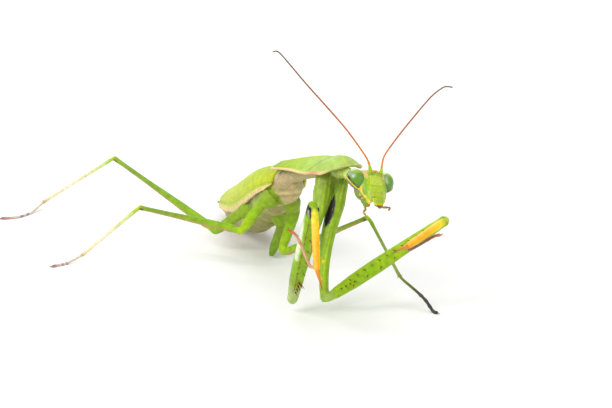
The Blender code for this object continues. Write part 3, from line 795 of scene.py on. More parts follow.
def flutes(count, depth, turn=0.0):
    """Long shallow ribs, kept inside the round outline."""
    return lambda t, a: -depth * (0.5 - 0.5 * math.cos(count * (a + turn))) * min(1.0, 8 * t, 8 * (1 - t))


def groove(depth, width):
    """A channel along the up side with a ridge on both edges."""
    def relief(t, a):
        off = abs((a - math.pi / 2 + math.pi) % (2 * math.pi) - math.pi)
        keep = min(1.0, 6 * t, 10 * (1 - t))
        edges = 0.05 * math.exp(-((off - width * 1.7) / (width * 0.6)) ** 2)
        return keep * (-depth * math.exp(-(off / width) ** 2) + edges)
    return relief


def coxa_relief(t, a):
    return flutes(3, 0.09, math.radians(30))(t, a) - 0.07 * math.exp(-((t - 0.115) / 0.012) ** 2)


neck_end = under(0.10, 2.45)
add_limb((head_point((0.0, 1.1, 0.4)), head_point((0.0, 2.3, 0.4)), neck_end, under(0.2, 2.5)),
         ((0, 0.9, 0.9), (0.4, 1.02, 0.95), (1, 1.25, 0.9)), PRO_UP,
         plain([(0, mix(PALE, LIME, 0.5)), (0.7, mix(PALE, LIME, 0.3)), (1, mix(LIME, PALE, 0.5))]),
         relief=lambda t, a: -0.07 * math.sin(t * 30) ** 2)
TRUNK_PAINT = plain([(0, mix(PALE, LIME, 0.5)), (0.12, mix(OLIVE, PALE, 0.4)),
                     (0.3, mix(OLIVE, PALE, 0.35)), (0.55, mix(TAN, OLIVE, 0.3)), (1, TAN)])
add_limb([under(s, d) for s, d in ((0.10, 2.45), (0.3, 2.45), (0.6, 2.5), (0.93, 2.9))],
         ((0, 1.35, 0.9), (0.1, 1.75, 1.15), (0.3, 1.8, 1.2), (0.6, 1.35, 1.25), (1, 1.35, 1.35)), PRO_UP,
         TRUNK_PAINT)
add_limb((under(0.9, 2.9), (BODY_X - 1.0, 23.6, 16.8), (BODY_X, 26.0, 15.6)),
         ((0, 1.3, 1.3), (1, 2.3, 2.6)), PRO_UP,
         plain([(0, TAN), (1, mix(TAN, OLIVE, 0.4))]), ends=(0.6, 0.6))

for low_end, thick_end in (((2.25, 5.6, 17.9), 0.75), ((2.9, 6.3, 17.6), 0.6)):
    add_limb(((2.5, 6.1, 22.0), (2.45, 5.9, 20.0), low_end),
             ((0, 1.5, 1.0), (0.6, 1.25, 0.8), (1, thick_end, 0.5)), (0, -1, 0),
             plain([(0, mix(OLIVE, LEAF, 0.4)), (1, mix(OLIVE, LEAF, 0.55))]), ends=(1, 1.5))
THORN_PLAN = []             # (root, tip, thickness, colour at root, colour at tip, bend)


def fore_leg(side):
    """A grasping leg: coxa, thigh, shin and foot, with the thorns that stand on them."""
    given = FORE[side]
    hip, end, knee, wrist, claw = (Vector(given[k]) for k in ("hip", "end", "knee", "wrist", "claw"))
    bow = [Vector(p) for p in given["bow"]]
    last = end + (end - bow[-1]).normalized() * 0.9
    thick = given["thick"]
    top = hip + (hip - bow[0]).normalized() * 1.9
    coxa = add_limb([top] + bow + [last],
                    ((0, thick[0] * 0.85, 1.2), (0.08, thick[0] * 0.95, 1.4), (0.18, thick[0], 1.52),
                     (0.27, thick[1], 1.46), (0.47, thick[2], 1.27),
                     (0.7, thick[3], 1.08), (0.9, thick[4], 0.88), (1, thick[4] * 0.9, 0.83)), (0, -1, 0),
                    paint_fore_coxa(side), coxa_relief, ends=(0.3, 1.0), tension=0.5)
    for i in range(9):
        t = 0.16 + i * 0.088
        root = coxa.point(t, math.radians(52))
        out_way = (root - coxa.at(t)).normalized()
        THORN_PLAN.append((root - out_way * 0.1, root + out_way * (0.2 if i % 2 else 0.28), 0.1,
                           mix(LIME, GOLD, 0.35), PALE, 0.0))
    along = (knee - end).normalized()
    fold = (wrist - knee).normalized()
    inner = (fold - along * fold.dot(along)).normalized()
    down = (end - bow[-1]).normalized()
    upper = (end - hip).normalized()
    start = end + (along - upper * along.dot(upper)).normalized() * 0.97
    stop = knee + along * 0.75
    add_limb((end - down * 0.6, end + down * 0.35, start + along * 0.9),
             ((0, 0.7, 0.75), (0.5, 0.74, 0.8), (1, 0.85, 0.9)),
             inner, plain([(0, mix(FRESH, PALE, 0.5)), (1, mix(PALE, LEAF, 0.4))]), ends=(0.8, 0.8))
    femur = add_limb((start, stop),
                     ((0, 0.7, 0.75), (0.06, 0.95, 1.05), (0.2, 1.2, 1.25), (0.4, 1.25, 1.25),
                      (0.65, 1.1, 1.1),
                      (0.88, 0.95, 1.0), (1, 0.8, 0.9)), inner, paint_fore_femur(side), groove(0.16, 0.32),
                     ends=(1.0, 0.9))
    for lane, sway in ((0, 24), (1, -24)):
        for i in range(11 if lane == 0 else 6):
            t = 0.2 + i * (0.062 if lane == 0 else 0.115)
            root = femur.point(t, math.radians(90 + sway))
            out_way = (root - femur.at(t)).normalized()
            long = (0.95 if i % 2 == 0 else 0.6) * (1.15 if i in (2, 4) else 1.0)
            tip = root + (out_way + along * -0.25).normalized() * long
            THORN_PLAN.append((root - out_way * 0.15, tip, 0.15, mix(RUST, LEAF, 0.3), INK, 0.06))
    for i in range(4):
        t = 0.11 + i * 0.035
        root = femur.point(t, math.radians(90 + 6 - 4 * i))
        out_way = (root - femur.at(t)).normalized()
        tip = root + (out_way + along * 0.1).normalized() * (0.8 + 0.28 * i)
        THORN_PLAN.append((root - out_way * 0.15, tip, 0.17, BRICK, INK, 0.08))
    for sway in (58, -58):
        at = stop - along * 0.7 + inner * 0.55
        spread = along.cross(inner).normalized() * (0.55 if sway > 0 else -0.55)
        add_limb((at + spread - along * 0.5, at + spread + inner * 0.45 + along * 0.25),
                 ((0, 0.42, 0.5), (1, 0.34, 0.42)), inner,
                 knee_plain(side, [(0, mix(FRESH, LIME, 0.3)), (1, mix(FRESH, OLIVE, 0.3))]))
    k0 = knee + inner * 1.3
    add_limb((knee - along * 0.2, knee + inner * 0.7, k0 + fold * 0.8),
             ((0, 0.6, 0.6), (0.6, 0.55, 0.6), (1, 0.5, 0.62)), inner,
             knee_plain(side, [(0, mix(FRESH, OLIVE, 0.3)), (0.6, mix(LIME, OLIVE, 0.3)),
                               (1, mix(LIME, GOLD, 0.4))]))
    tibia = add_limb((k0, wrist + (wrist - k0).normalized() * 0.35),
                     ((0, 0.5, 0.6), (0.12, 0.62, 0.75), (0.5, 0.6, 0.75), (0.88, 0.58, 0.7),
                      (1, 0.42, 0.5)), inner,
                     paint_fore_tibia, groove(0.12, 0.4), ends=(1.0, 0.7))
    shin = (wrist - k0).normalized()
    THORN_PLAN.append((wrist - shin * 0.1, claw, 0.42, mix(AMBER, RUST, 0.4), BRICK, 0.1))
    for lane, sway in ((0, 30), (1, -30)):
        for i in range(13):
            t = 0.17 + i * 0.062
            root = tibia.point(t, math.radians(270 + sway))
            out_way = (root - tibia.at(t)).normalized()
            tip = root + (out_way * 0.5 + shin * 0.85).normalized() * (0.38 + 0.22 * t)
            THORN_PLAN.append((root - out_way * 0.08, tip, 0.09, mix(RUST, AMBER, 0.5), BRICK, 0.04))
    foot = [Vector(p) for p in given["foot"]]
    joint = foot[0] + (wrist - foot[0]) * 0.75
    add_limb([joint] + foot, ((0, 0.24, 0.24), (0.3, 0.25, 0.25), (0.6, 0.24, 0.24), (0.66, 0.31, 0.31),
                              (0.72, 0.23, 0.23),
                              (0.78, 0.29, 0.29), (0.83, 0.23, 0.23), (0.9, 0.3, 0.3), (1, 0.28, 0.28)),
             (0, 0, 1),
             plain(FORE_FOOT[side]), tension=0.3)
    toe = foot[-1]
    on = (foot[-1] - foot[-2]).normalized()
    for sway in (-0.5, 0.5):
        wide = on.cross(Vector((0, -1, 0.2))).normalized() * sway
        THORN_PLAN.append((toe - on * 0.15, toe + (on * 0.6 + wide * 0.7).normalized() * 0.5, 0.09, RUST,
                           INK, 0.18))

TOE_SIZES = ((0, 0.25, 0.25), (0.4, 0.25, 0.25), (0.47, 0.33, 0.29), (0.52, 0.22, 0.24), (0.63, 0.32, 0.28),
             (0.67, 0.22, 0.24), (0.75, 0.32, 0.29), (0.79, 0.22, 0.24), (0.92, 0.34, 0.3), (1, 0.32, 0.28))


def walking_leg(key):
    """A walking leg from its root in the trunk down to its claws."""
    leg = WALK[key]
    dark = key == "mid_left"
    hip, end, knee, ankle = (Vector(leg[k]) for k in ("hip", "end", "knee", "ankle"))
    thick = 1.0 if key.startswith("mid") else 1.08
    down = (end - hip).normalized()
    into = Vector((rear_x(hip.y), hip.y, sum(rear_at(hip.y)[:2]) / 2)) - hip
    shade = LEG_ROOT[key]
    add_limb((hip + into.normalized() * 1.2, hip + down * 0.4, end),
             ((0, 0.95, 0.95), (0.3, 1.0, 1.05), (0.75, 0.88, 0.93), (1, 0.62, 0.7)),
             (0, -1, 0), plain(shade), flutes(3, 0.06), ends=(0.5, 1.0), tension=0.3)
    heart = Vector((rear_x(hip.y), hip.y - 0.6, sum(rear_at(hip.y)[:2]) / 2))
    root = heart + (hip - heart) * 0.45
    add_limb((root, hip + down * 0.6), ((0, 2.1, 2.2), (0.5, 1.6, 1.7), (1, 0.95, 1.0)), (0, -1, 0),
             plain([(0, mix(OLIVE, FRESH, 0.45)), (0.7, mix(FRESH, OLIVE, 0.35)), (1, shade[0][1])]),
             ends=(0.5, 0.8))
    along = (knee - end).normalized()
    start = end + (along - down * along.dot(down)).normalized() * 0.62 + along * 0.28
    add_limb((end - down * 0.5, end - down * 0.1, start + along * 0.8),
             ((0, 0.6, 0.62), (0.5, 0.56, 0.6), (1, 0.6, 0.68)), (0, 0, 1),
             plain([(0, shade[-1][1]), (1, FRESH)]), ends=(0.6, 0.6))
    thigh = ((0, 0.5, 0.55), (0.06, 0.64 * thick, 0.76 * thick), (0.3, 0.6 * thick, 0.72 * thick),
             (0.65, 0.44, 0.5), (0.9, 0.4, 0.44), (0.96, 0.44, 0.48), (1, 0.42, 0.46))
    add_limb((start, knee), thigh, (0, 0, 1), paint_walk_femur(key), flutes(4, 0.1, math.pi / 4))
    shin = (ankle - knee).normalized()
    first = knee + (shin - along * shin.dot(along)).normalized() * 0.52 + along * 0.1 + shin * 0.28
    add_limb((knee - along * 0.35, first + shin * 0.25), ((0, 0.34, 0.36), (1, 0.34, 0.36)), (0, 0, 1),
             plain([(0, LIME), (1, FRESH)]))
    tibia = add_limb((first, ankle), ((0, 0.32, 0.34), (0.05, 0.37, 0.39), (0.15, 0.31, 0.33),
                                      (0.5, 0.3, 0.32), (0.9, 0.31, 0.33), (1, 0.35, 0.37)),
                     (0, 0, 1), plain(DARK_SHIN if dark else PALE_SHIN), flutes(4, 0.08))
    for sway in (-35, 35, 145, 215):
        root = tibia.point(0.975, math.radians(sway))
        out_way = (root - tibia.at(0.975)).normalized()
        THORN_PLAN.append((root - out_way * 0.05, root + (out_way * 0.35 + shin).normalized() * 0.5, 0.07,
                           OLIVE, BRICK, 0.0))
    toes = [Vector((p[0], p[1], p[2] if len(p) > 2 else FLOOR_PAD)) for p in leg["toes"]]
    turn = (toes[0] - ankle).normalized()
    begin = ankle + turn * 0.48 + shin * 0.12
    if begin.z > 1.0 and ankle.z < 2:
        begin.z = 0.95
    add_limb((ankle - shin * 0.2, begin + turn * 0.4), ((0, 0.26, 0.26), (1, 0.25, 0.25)), (0, 0, 1),
             plain([(0, OLIVE), (1, MUD)] if dark else [(0, CREAM), (1, LILAC)]))
    stout = 1.18 if dark else 1.0
    toe_sizes = [(t, a * stout, b) for t, a, b in TOE_SIZES]
    toe_paint = plain(DARK_TOES if dark else PALE_TOES)
    add_limb([begin] + toes, toe_sizes, (0, 0, 1), toe_paint, tension=0.3)
    on = (toes[-1] - toes[-2]).normalized()
    for sway in (-0.55, 0.55):
        wide = on.cross(Vector((0, 0, 1))).normalized() * sway
        THORN_PLAN.append((toes[-1] - on * 0.1,
                           toes[-1] + (on + wide).normalized() * 0.55 + Vector((0, 0, -0.08)), 0.09, MUD,
                           INK, 0.1))


def tail_feeler(sign):
    root = Vector((rear_x(REAR_END) + sign * 0.8, REAR_END + 0.12, 2.2))
    add_limb((root - Vector((0, 0.6, 0)), root, root + Vector((sign * 0.5, 2.8, -0.5))),
             ((0, 0.3, 0.3), (0.5, 0.4, 0.35), (1, 0.24, 0.24)), (0, 0, 1),
             plain([(0, LEAF), (1, mix(LEAF, MUD, 0.5))]),
             lambda t, a: -0.14 * math.sin(t * 42) ** 2)


for side in FORE:
    fore_leg(side)
for key in WALK:
    walking_leg(key)
for sign in (1, -1):
    tail_feeler(sign)


# ---------------------------------------------------------------- head lines
def head_level(z, column):
    rows = HEAD_LEVELS[::-1]
    return float(np.interp(z, [r[0] for r in rows], [r[column] for r in rows]))


def skull(t, k, grow=0.0):
    """Head capsule without its plates; t runs from the crown down, k around from the left."""
    z = 2.66 - 4.96 * t
    crown = math.sqrt(max(0.0, 1 - max(0.0, 1 - t / 0.05) ** 2))
    chin = math.sqrt(max(0.0, 1 - max(0.0, (t - 0.94) / 0.06) ** 2))
    share = crown * chin
    half, front, back, square = (head_level(z, c) for c in (1, 2, 3, 4))
    a = 2 * math.pi * k
    c, s = math.cos(a), math.sin(a)
    if s > 0:
        p = Vector((half * math.copysign(abs(c) ** square, c), back * s ** square, z))
    else:
        p = Vector((half * c, front * s, z))
    inner = Vector((p.x * share, p.y * share, z))
    return head_point(inner + Vector((c, s, 0)) * grow * share)


def head_co(co):
    """Body points seen in the head's own frame."""
    turn = np.array(HEAD_TURN)
    return (co - np.array(HEAD_AT)) @ turn


EYE_TURN = {"left": HEAD_TURN @ Euler((0, math.radians(EYE_TILT), 0)).to_matrix(),
            "right": HEAD_TURN @ Euler((0, math.radians(-EYE_TILT), 0)).to_matrix()}


def head_line(points, sizes, up=(0, -1, 0), relief=None, ends=(1.0, 1.0)):
    """A limb whose points are given in the head's own frame."""
    return Limb([head_point(p) for p in points], sizes, HEAD_TURN @ Vector(up), None, relief, ends)


def head_limb(points, sizes, up=(0, -1, 0), ends=(1.0, 1.0)):
    return limb_tube(head_line(points, sizes, up, ends=ends), 0.1, 16)


# ---------------------------------------------------------------- skin over the soft and jointed parts
parts = [wrapped(rear_skin, 260, 84)]
for limb in SHAPES:
    parts.append(limb_tube(limb, 0.16 if limb.relief else 0.3, 26 if limb.relief else 18))
skin = melt(together(parts), SKIN_VOXEL, 2, SKIN_SHARE)
co = points_of(skin)
best = np.full((2, len(co)), 1e3)
first = np.zeros((len(co), 3))
second = np.zeros((len(co), 3))


def offer(rows, gap, colour):
    """Keep the two nearest parts' colours for every point."""
    nearer = gap < best[0][rows]
    n, o = rows[nearer], rows[~nearer]
    best[1][n], second[n] = best[0][n], first[n]
    best[0][n], first[n] = gap[nearer], colour[nearer]
    gap_o, colour_o = gap[~nearer], colour[~nearer]
    nearer = gap_o < best[1][o]
    best[1][o[nearer]], second[o[nearer]] = gap_o[nearer], colour_o[nearer]


t, a, gap = rear_near(co)
offer(np.arange(len(co)), gap, paint_rear(t, a, co))
for limb in SHAPES:
    line = np.array([limb.at(i / 12) for i in range(13)])
    reach = max(max(r[1], r[2]) for r in limb.sizes) + 0.8
    rows = np.nonzero(((co > line.min(0) - reach) & (co < line.max(0) + reach)).all(1))[0]
    if len(rows):
        t, a, gap = limb.near(co[rows])
        offer(rows, gap, limb.painter(t, a, co[rows]))
blend = np.clip((best[1] - best[0]) / 0.24, 0, 1) * 0.5 + 0.5
tint(skin, mix(second, first, blend))
LEG_PARTS = ("coxa", "femur", "tibia", "tarsus")
SKIN_NODES = ["neck", "front_trunk", "thorax", "abdomen", "tail_feeler_left", "tail_feeler_right"]
SKIN_NODES += ["fore_%s_%s" % (part, side) for side in FORE for part in LEG_PARTS]
SKIN_NODES += ["%s_%s" % (leg, part) for leg in WALK for part in LEG_PARTS]
hand_over("skin", skin, SKIN, SKIN_NODES)


# ---------------------------------------------------------------- neck shield
def shield_sheet(t, k):
    """Top of the shown shield: keel, cross groove, dished border, bulges, bent lip and toothed rim."""
    u = 2 * k - 1
    s = SHIELD_START + (1 - SHIELD_START) * (0.35 * t + 0.65 * t * t * (3 - 2 * t))
    p = pro_point(s, u)
    keel = 0.16 * math.exp(-(u * read(PRO_HALF, s) / 0.22) ** 2)
    keel = keel * soft(s, 0.06, 0.14) * (1 - soft(s, 0.93, 0.99))
    cross = 0.1 * math.exp(-((s - SHIELD_GROOVE - 0.05 * u * u) / 0.014) ** 2) * (1 - abs(u) ** 4)
    dish = 0.1 * math.exp(-((abs(u) - 0.84) / 0.06) ** 2) * soft(s, 0.08, 0.16) * (1 - soft(s, 0.9, 0.97))
    bulge = 0.12 * math.exp(-((s - 0.17) / 0.07) ** 2 - ((abs(u) - 0.4) / 0.25) ** 2)
    swell = 0.35 * math.exp(-((s - 0.15) / 0.06) ** 2) * (1 - u * u)
    lip_bend = 1.1 * (max(0.0, 0.16 - s) / 0.1) ** 2 * (1 - u * u)
    bulge += swell - lip_bend
    droop = (0.22 + 0.35 * math.exp(-((s - 0.18) / 0.08) ** 2)) * abs(u) ** 3 * (1 - soft(s, 0.6, 0.9))
    teeth = 0.05 * math.sin(s * 210) ** 2 * max(0.0, abs(u) - 0.96) / 0.04
    teeth = teeth * soft(s, 0.15, 0.22) * (1 - soft(s, 0.86, 0.95))
    outward = teeth - 0.05 * soft(s, 0.1, 0.2)
    upward = keel - cross - dish + bulge - droop - 0.12
    return p + PRO_UP * upward + PRO_LEFT * math.copysign(outward, u)


def paint_shield(co):
    rel = co - np.array(PRO_FRONT)
    s = rel @ np.array(PRO_AXIS) / PRO_LONG
    grid = np.linspace(0, 1, 201)
    half = np.interp(s, grid, [pro_half(g) for g in grid])
    u = rel @ np.array(PRO_LEFT)
    k = np.abs(u) / np.maximum(half, 0.05)
    gap = half - np.abs(u)
    colour = ramp(s, [(0, mix(FRESH, PALE, 0.5)), (0.25, mix(FRESH, PALE, 0.35)),
                      (0.6, mix(LIME, FRESH, 0.6)), (1, mix(FRESH, OLIVE, 0.3))])
    colour = mix(colour, mix(LEAF, OLIVE, 0.3), 0.35 * soft(k, 0.55, 0.85) * (1 - soft(gap, 0.2, 0.5)))
    colour = mix(colour, mix(LEAF, OLIVE, 0.3),
                 0.6 * np.exp(-((s - SHIELD_GROOVE - 0.05 * k * k) / 0.016) ** 2))
    colour = mix(colour, mix(LIME, CREAM, 0.3), 0.5 * np.exp(-(u / 0.25) ** 2))
    colour = mix(colour, CREAM, (1 - soft(gap, 0.2, 0.4)) * (0.3 + 0.7 * soft(s, 0.08, 0.16)))
    colour = mix(colour, mix(CREAM, FRESH, 0.3), 0.6 - 0.6 * soft(s, 0.062, 0.069))
    blush = 0.75 * soft(0.62 - gap, 0.0, 0.3) * np.exp(-((s - 0.24) / 0.06) ** 2) * (u < 0)
    return mix(colour, ROSE, blush)


plate = to_mesh(wrapped(shield_sheet, 190, 120, close=False))
face_up(plate, PRO_UP)
plate = thicken(plate, SHIELD_THICK - 0.15)
tint(plate, paint_shield(points_of(plate)))
hand_over("neck_shield", plate, SHIELD, ["neck_shield"])


# ---------------------------------------------------------------- wing cases
def wing_sheet(first_deg, last_deg, grow):
    def shape(t, k):
        y = WING_START + (WING_END - WING_START) * t
        narrow = 1.0
        if t > 0.8:
            narrow = math.sqrt(max(0.0, 1 - ((t - 0.8) / 0.2) ** 2 * 0.93))
        if t < 0.06:
            narrow *= 0.8 + 0.2 * t / 0.06
        hang = WING_HANG * math.exp(-((y - WING_HANG_AT) / WING_HANG_REACH) ** 2) * k ** 3
        middle = (first_deg + last_deg) / 2
        spread = last_deg - first_deg
        deg = middle + (first_deg + spread * k - middle) * narrow + spread * hang
        vein = 0.05 * math.exp(-((k - 0.74) / 0.012) ** 2) * 1.3
        for place in (0.9, 0.62, 0.5, 0.38, 0.25, 0.12):
            line = place + (0.16 * t * t if place < 0.6 else 0.02 * t)
            vein += 0.045 * math.exp(-((k - line) / 0.009) ** 2)
        groove_line = 0.1 * math.exp(-((k - 0.82) / 0.03) ** 2)
        lift = grow - 0.05 + vein - groove_line
        if y > REAR_END:
            p = rear_point(REAR_END, deg, lift)
            p.y = y
            p.z -= (y - REAR_END) * 0.35
            return p
        return rear_point(y, deg, lift)
    return shape


def paint_wing(co, first_deg, last_deg):
    t = (co[:, 1] - WING_START) / (WING_END - WING_START)
    _, a, _ = rear_near(co)
    deg = np.degrees(a)
    k = (deg - first_deg) / (last_deg - first_deg)
    hang = WING_HANG * np.exp(-((co[:, 1] - WING_HANG_AT) / WING_HANG_REACH) ** 2)
    k = np.clip(k - hang * np.clip(k, 0, 1) ** 3, 0, 1)
    colour = ramp(t, [(0, mix(LIME, OLIVE, 0.35)), (0.15, mix(LIME, FRESH, 0.35)),
                      (0.6, mix(LIME, PALE, 0.25)), (1, mix(FRESH, OLIVE, 0.2))])
    colour = mix(colour, mix(LIME, GOLD, 0.2), 0.35 * soft(k, 0.3, 0.7))
    colour = mix(colour, mix(LEAF, FRESH, 0.4), 0.5 * np.exp(-((k - 0.82) / 0.025) ** 2))
    colour = mix(colour, CREAM, soft(k, 0.87, 0.915) * (1 - 0.4 * soft(t, 0.8, 1.0)))
    return mix(colour, mix(TAN, OLIVE, 0.4), 0.4 * soft(k, 0.975, 0.995))


WINGS = {"right": (WING_SEAM_DEG, -WING_SIDE_DEG), "left": (WING_SEAM_DEG + SEAM_SHIFT, WING_SIDE_DEG)}
for side, (first_deg, last_deg) in WINGS.items():
    sheet = to_mesh(wrapped(wing_sheet(first_deg, last_deg, WING_CLEAR + WING_THICK), 230, 110,
                            close=False))
    face_up(sheet, Vector((0.9 if side == "left" else -0.9, 0, 1)))
    wing = thicken(sheet, WING_THICK - 0.05)
    tint(wing, paint_wing(points_of(wing), first_deg, last_deg))
    hand_over("wing_case_" + side, wing, WING, ["wing_case_" + side])


# ---------------------------------------------------------------- head capsule
shell = [wrapped(skull, 96, 96)]
CHEEK_LINE = ((2.44, -0.15, -0.95), (2.28, -0.42, -1.75), (1.8, -0.62, -2.7), (1.08, -0.68, -3.8))
for sign in (1, -1):
    shell.append(head_limb([(sign * p[0], p[1], p[2]) for p in CHEEK_LINE],
                           ((0, 0.12, 0.14), (0.3, 0.14, 0.22), (0.6, 0.16, 0.3), (1, 0.1, 0.16))))
    shell.append(head_limb(((sign * 1.35, -1.2, -1.3), (sign * 1.25, -1.25, -2.4),
                            (sign * 1.02, -1.05, -3.65)),
                           ((0, 0.3, 0.42), (0.25, 0.4, 0.5), (0.6, 0.38, 0.45), (1, 0.16, 0.2))))
    shell.append(head_limb(((sign * 1.7, -0.5, -1.9), (sign * 1.45, -0.55, -2.8),
                            (sign * 1.05, -0.6, -3.7)),
                           ((0, 0.5, 0.75), (0.5, 0.5, 0.6), (1, 0.16, 0.2))))
    shell.append(head_limb(((sign * 1.55, 0.35, -2.0), (sign * 1.4, 0.2, -3.0), (sign * 1.05, 0.0, -3.7)),
                           ((0, 0.6, 0.8), (0.5, 0.5, 0.55), (1, 0.22, 0.24))))
    shell.append(head_limb(((sign * 0.95, -1.35, 1.42), (sign * 0.95, -1.95, 1.45)),
                           ((0, 0.46, 0.46), (0.6, 0.42, 0.42), (1, 0.33, 0.33)), (0, 0, 1)))
shell.append(head_limb(((0.0, -1.7, 1.08), (0.0, -1.82, 0.3), (0.0, -1.86, -0.62)),
                       ((0, 0.85, 0.08), (0.25, 1.14, 0.12), (0.75, 1.2, 0.13), (1, 1.0, 0.08)),
                       ends=(0.5, 0.4)))
shell.append(head_limb(((0.0, -1.72, -0.78), (0.0, -1.8, -1.3), (0.02, -1.7, -1.86)),
                       ((0, 1.15, 0.12), (0.5, 1.3, 0.2), (1, 1.2, 0.18)), ends=(0.5, 0.5)))
shell.append(head_limb(((0.04, -1.6, -1.95), (0.1, -1.62, -2.35), (0.12, -1.55, -2.8)),
                       ((0, 1.05, 0.2), (0.5, 1.12, 0.3), (1, 1.0, 0.24)), ends=(0.5, 0.5)))
shell.append(egg(head_point((0.0, -0.75, 1.95)), (0.95, 0.6, 0.58), HEAD_TURN))


def rim_face(side):
    face = RIM_FACE.copy()
    if side == "left":
        face.x = -face.x
    return face


def eye_centre(side):
    place = EYE_AT + DOME_SHIFT
    return Vector((place.x - 0.2 if side == "left" else -place.x, place.y, place.z))


def rim_place(side, angle, grow, off=0.0):
    """Point on the grown eye where its rim runs round."""
    turn = HEAD_TURN.inverted() @ EYE_TURN[side]
    halves = DOME_HALF + Vector((grow, grow, grow))
    scale = Matrix.Diagonal(halves)
    face = rim_face(side)
    m = scale @ (turn.transposed() @ face)
    high = (RIM_OFF + off - face.dot(eye_centre(side))) / m.length
    axis = m.normalized()
    across = axis.orthogonal().normalized()
    other = axis.cross(across)
    ring = math.sqrt(max(0.0, 1 - high * high))
    q = axis * high + (across * math.cos(angle) + other * math.sin(angle)) * ring
    return head_point(eye_centre(side) + turn @ (scale @ q))


def rim_tube(side, grow, off, thick):
    """A rounded cord laid along the eye's rim."""
    def shape(t, k):
        a = 2 * math.pi * t
        here = rim_place(side, a, grow, off)
        along = (rim_place(side, a + 0.01, grow, off) - here).normalized()
        away = (here - head_point(eye_centre(side)))
        away = (away - along * away.dot(along)).normalized()
        out_side = soft(abs((HEAD_TURN.inverted() @ (here - HEAD_AT)).x), 1.7, 2.5)
        turned = away * math.cos(2 * math.pi * k) + along.cross(away) * math.sin(2 * math.pi * k)
        return here + turned * (thick * (0.35 + 0.65 * out_side))
    return wrapped(shape, 120, 12)


def press_flat(bm, side, keep):
    """Bring the hidden side of an eye nearer to its rim plane."""
    face = HEAD_TURN @ rim_face(side)
    base = rim_place(side, 0.0, 0.0)
    for v in bm.verts:
        deep = (v.co - base).dot(face)
        if deep < 0:
            v.co -= face * deep * (1 - keep)


def paint_face(h):
    """Front, crown and back of the head, for points in its own frame."""
    y, z, wide = h[:, 1], h[:, 2], np.abs(h[:, 0])
    front = soft(-y, 0.2, 1.2)
    colour = mix(mix(OLIVE, LEAF, 0.45) + 0 * h, mix(FRESH, LEAF, 0.4), front)
    colour = mix(colour, mix(LIME, FRESH, 0.45), 0.9 * front * soft(1.9 - wide, 0.0, 0.5))
    plate = soft(1.25 - wide, 0.0, 0.15) * soft(1.2 - z, 0.0, 0.15) * soft(z + 0.72, 0.0, 0.12) * front
    colour = mix(colour, mix(LIME, PALE, 0.25), 0.55 * plate)
    edge = 0.25 * front * np.exp(-((wide - 1.25) / 0.06) ** 2)
    edge = edge * soft(1.3 - z, 0, 0.2) * soft(z + 0.8, 0, 0.2)
    colour = mix(colour, mix(LEAF, OLIVE, 0.5), edge)
    for level, reach, strength in ((1.22, 1.15, 0.2), (-0.72, 1.3, 0.45), (-1.9, 1.25, 0.45),
                                   (-2.72, 1.0, 0.5)):
        colour = mix(colour, mix(LEAF, MUD, 0.45),
                     strength * front * np.exp(-((z - level) / 0.07) ** 2) * soft(reach - wide, 0, 0.2))
    colour = mix(colour, mix(OLIVE, GOLD, 0.35),
                 0.5 * front * np.exp(-((z + 2.5) / 0.25) ** 2) * soft(1.2 - wide, 0, 0.3))
    colour = mix(colour, mix(CREAM, PEACH, 0.5),
                 0.85 * soft(z + 0.25 * wide, 2.0, 2.5) * soft(wide, 0.5, 1.0))
    colour = mix(colour, mix(LIME, PEACH, 0.45), 0.75 * soft(z, 1.6, 2.1) * (1 - soft(wide, 0.6, 1.1)))
    brow = 0.8 * soft(z, 0.1, 1.2) * soft(wide, 1.22, 1.42) * (1 - soft(wide, 1.9, 2.2))
    brow = brow * soft(-y, 0.2, 0.6)
    return mix(colour, mix(CREAM, PEACH, 0.35), brow)


def mark_cheeks(colour, h):
    """Yellow cheek lines, dark notches, pale face sides and the feelers' sockets."""
    y, z = h[:, 1], h[:, 2]
    for sign in (1, -1):
        mirrored = h * np.array([sign, 1, 1])
        flat = mirrored * np.array([1, 0, 1])
        line = np.zeros(len(h))
        for first_end, last_end in zip(CHEEK_LINE, CHEEK_LINE[1:]):
            start, stop = (first_end[0], 0, first_end[2]), (last_end[0], 0, last_end[2])
            line = np.maximum(line, capsule(flat, start, stop, 0.085, edge=0.07) * soft(-y, -0.3, -0.1))
        colour = mix(colour, mix(GOLD, CREAM, 0.35), 0.95 * line)
        colour = mix(colour, mix(OLIVE, LEAF, 0.35),
                     0.8 * soft(y, -0.35, 0.1) * soft(-z, 0.9, 1.3) * (1 - line))
        notch = capsule(mirrored, (2.1, 0.05, -2.05), (1.95, 0.35, -2.35), 0.14, 0.1, 0.12)
        notch = np.maximum(notch, capsule(mirrored, (2.0, -0.28, -1.98), (1.9, -0.25, -2.2), 0.09, 0.09,
                                          0.1))
        colour = mix(colour, mix(MUD, SLATE, 0.4), 0.85 * notch)
        colour = mix(colour, mix(PALE, FRESH, 0.55),
                     0.75 * capsule(mirrored, (1.3, -1.7, -1.9), (1.05, -1.4, -3.3), 0.3, 0.16, 0.3))
        colour = mix(colour, mix(BRICK, MUD, 0.4), 0.85 * soft(-z, 3.45, 3.75) * (1 - 0.7 * line))
        socket = capsule(mirrored, (0.95, -1.5, 1.42), (0.95, -2.0, 1.46), 0.4, 0.4, 0.1)
        colour = mix(colour, mix(LEAF, OLIVE, 0.4), 0.6 * socket)
    return colour


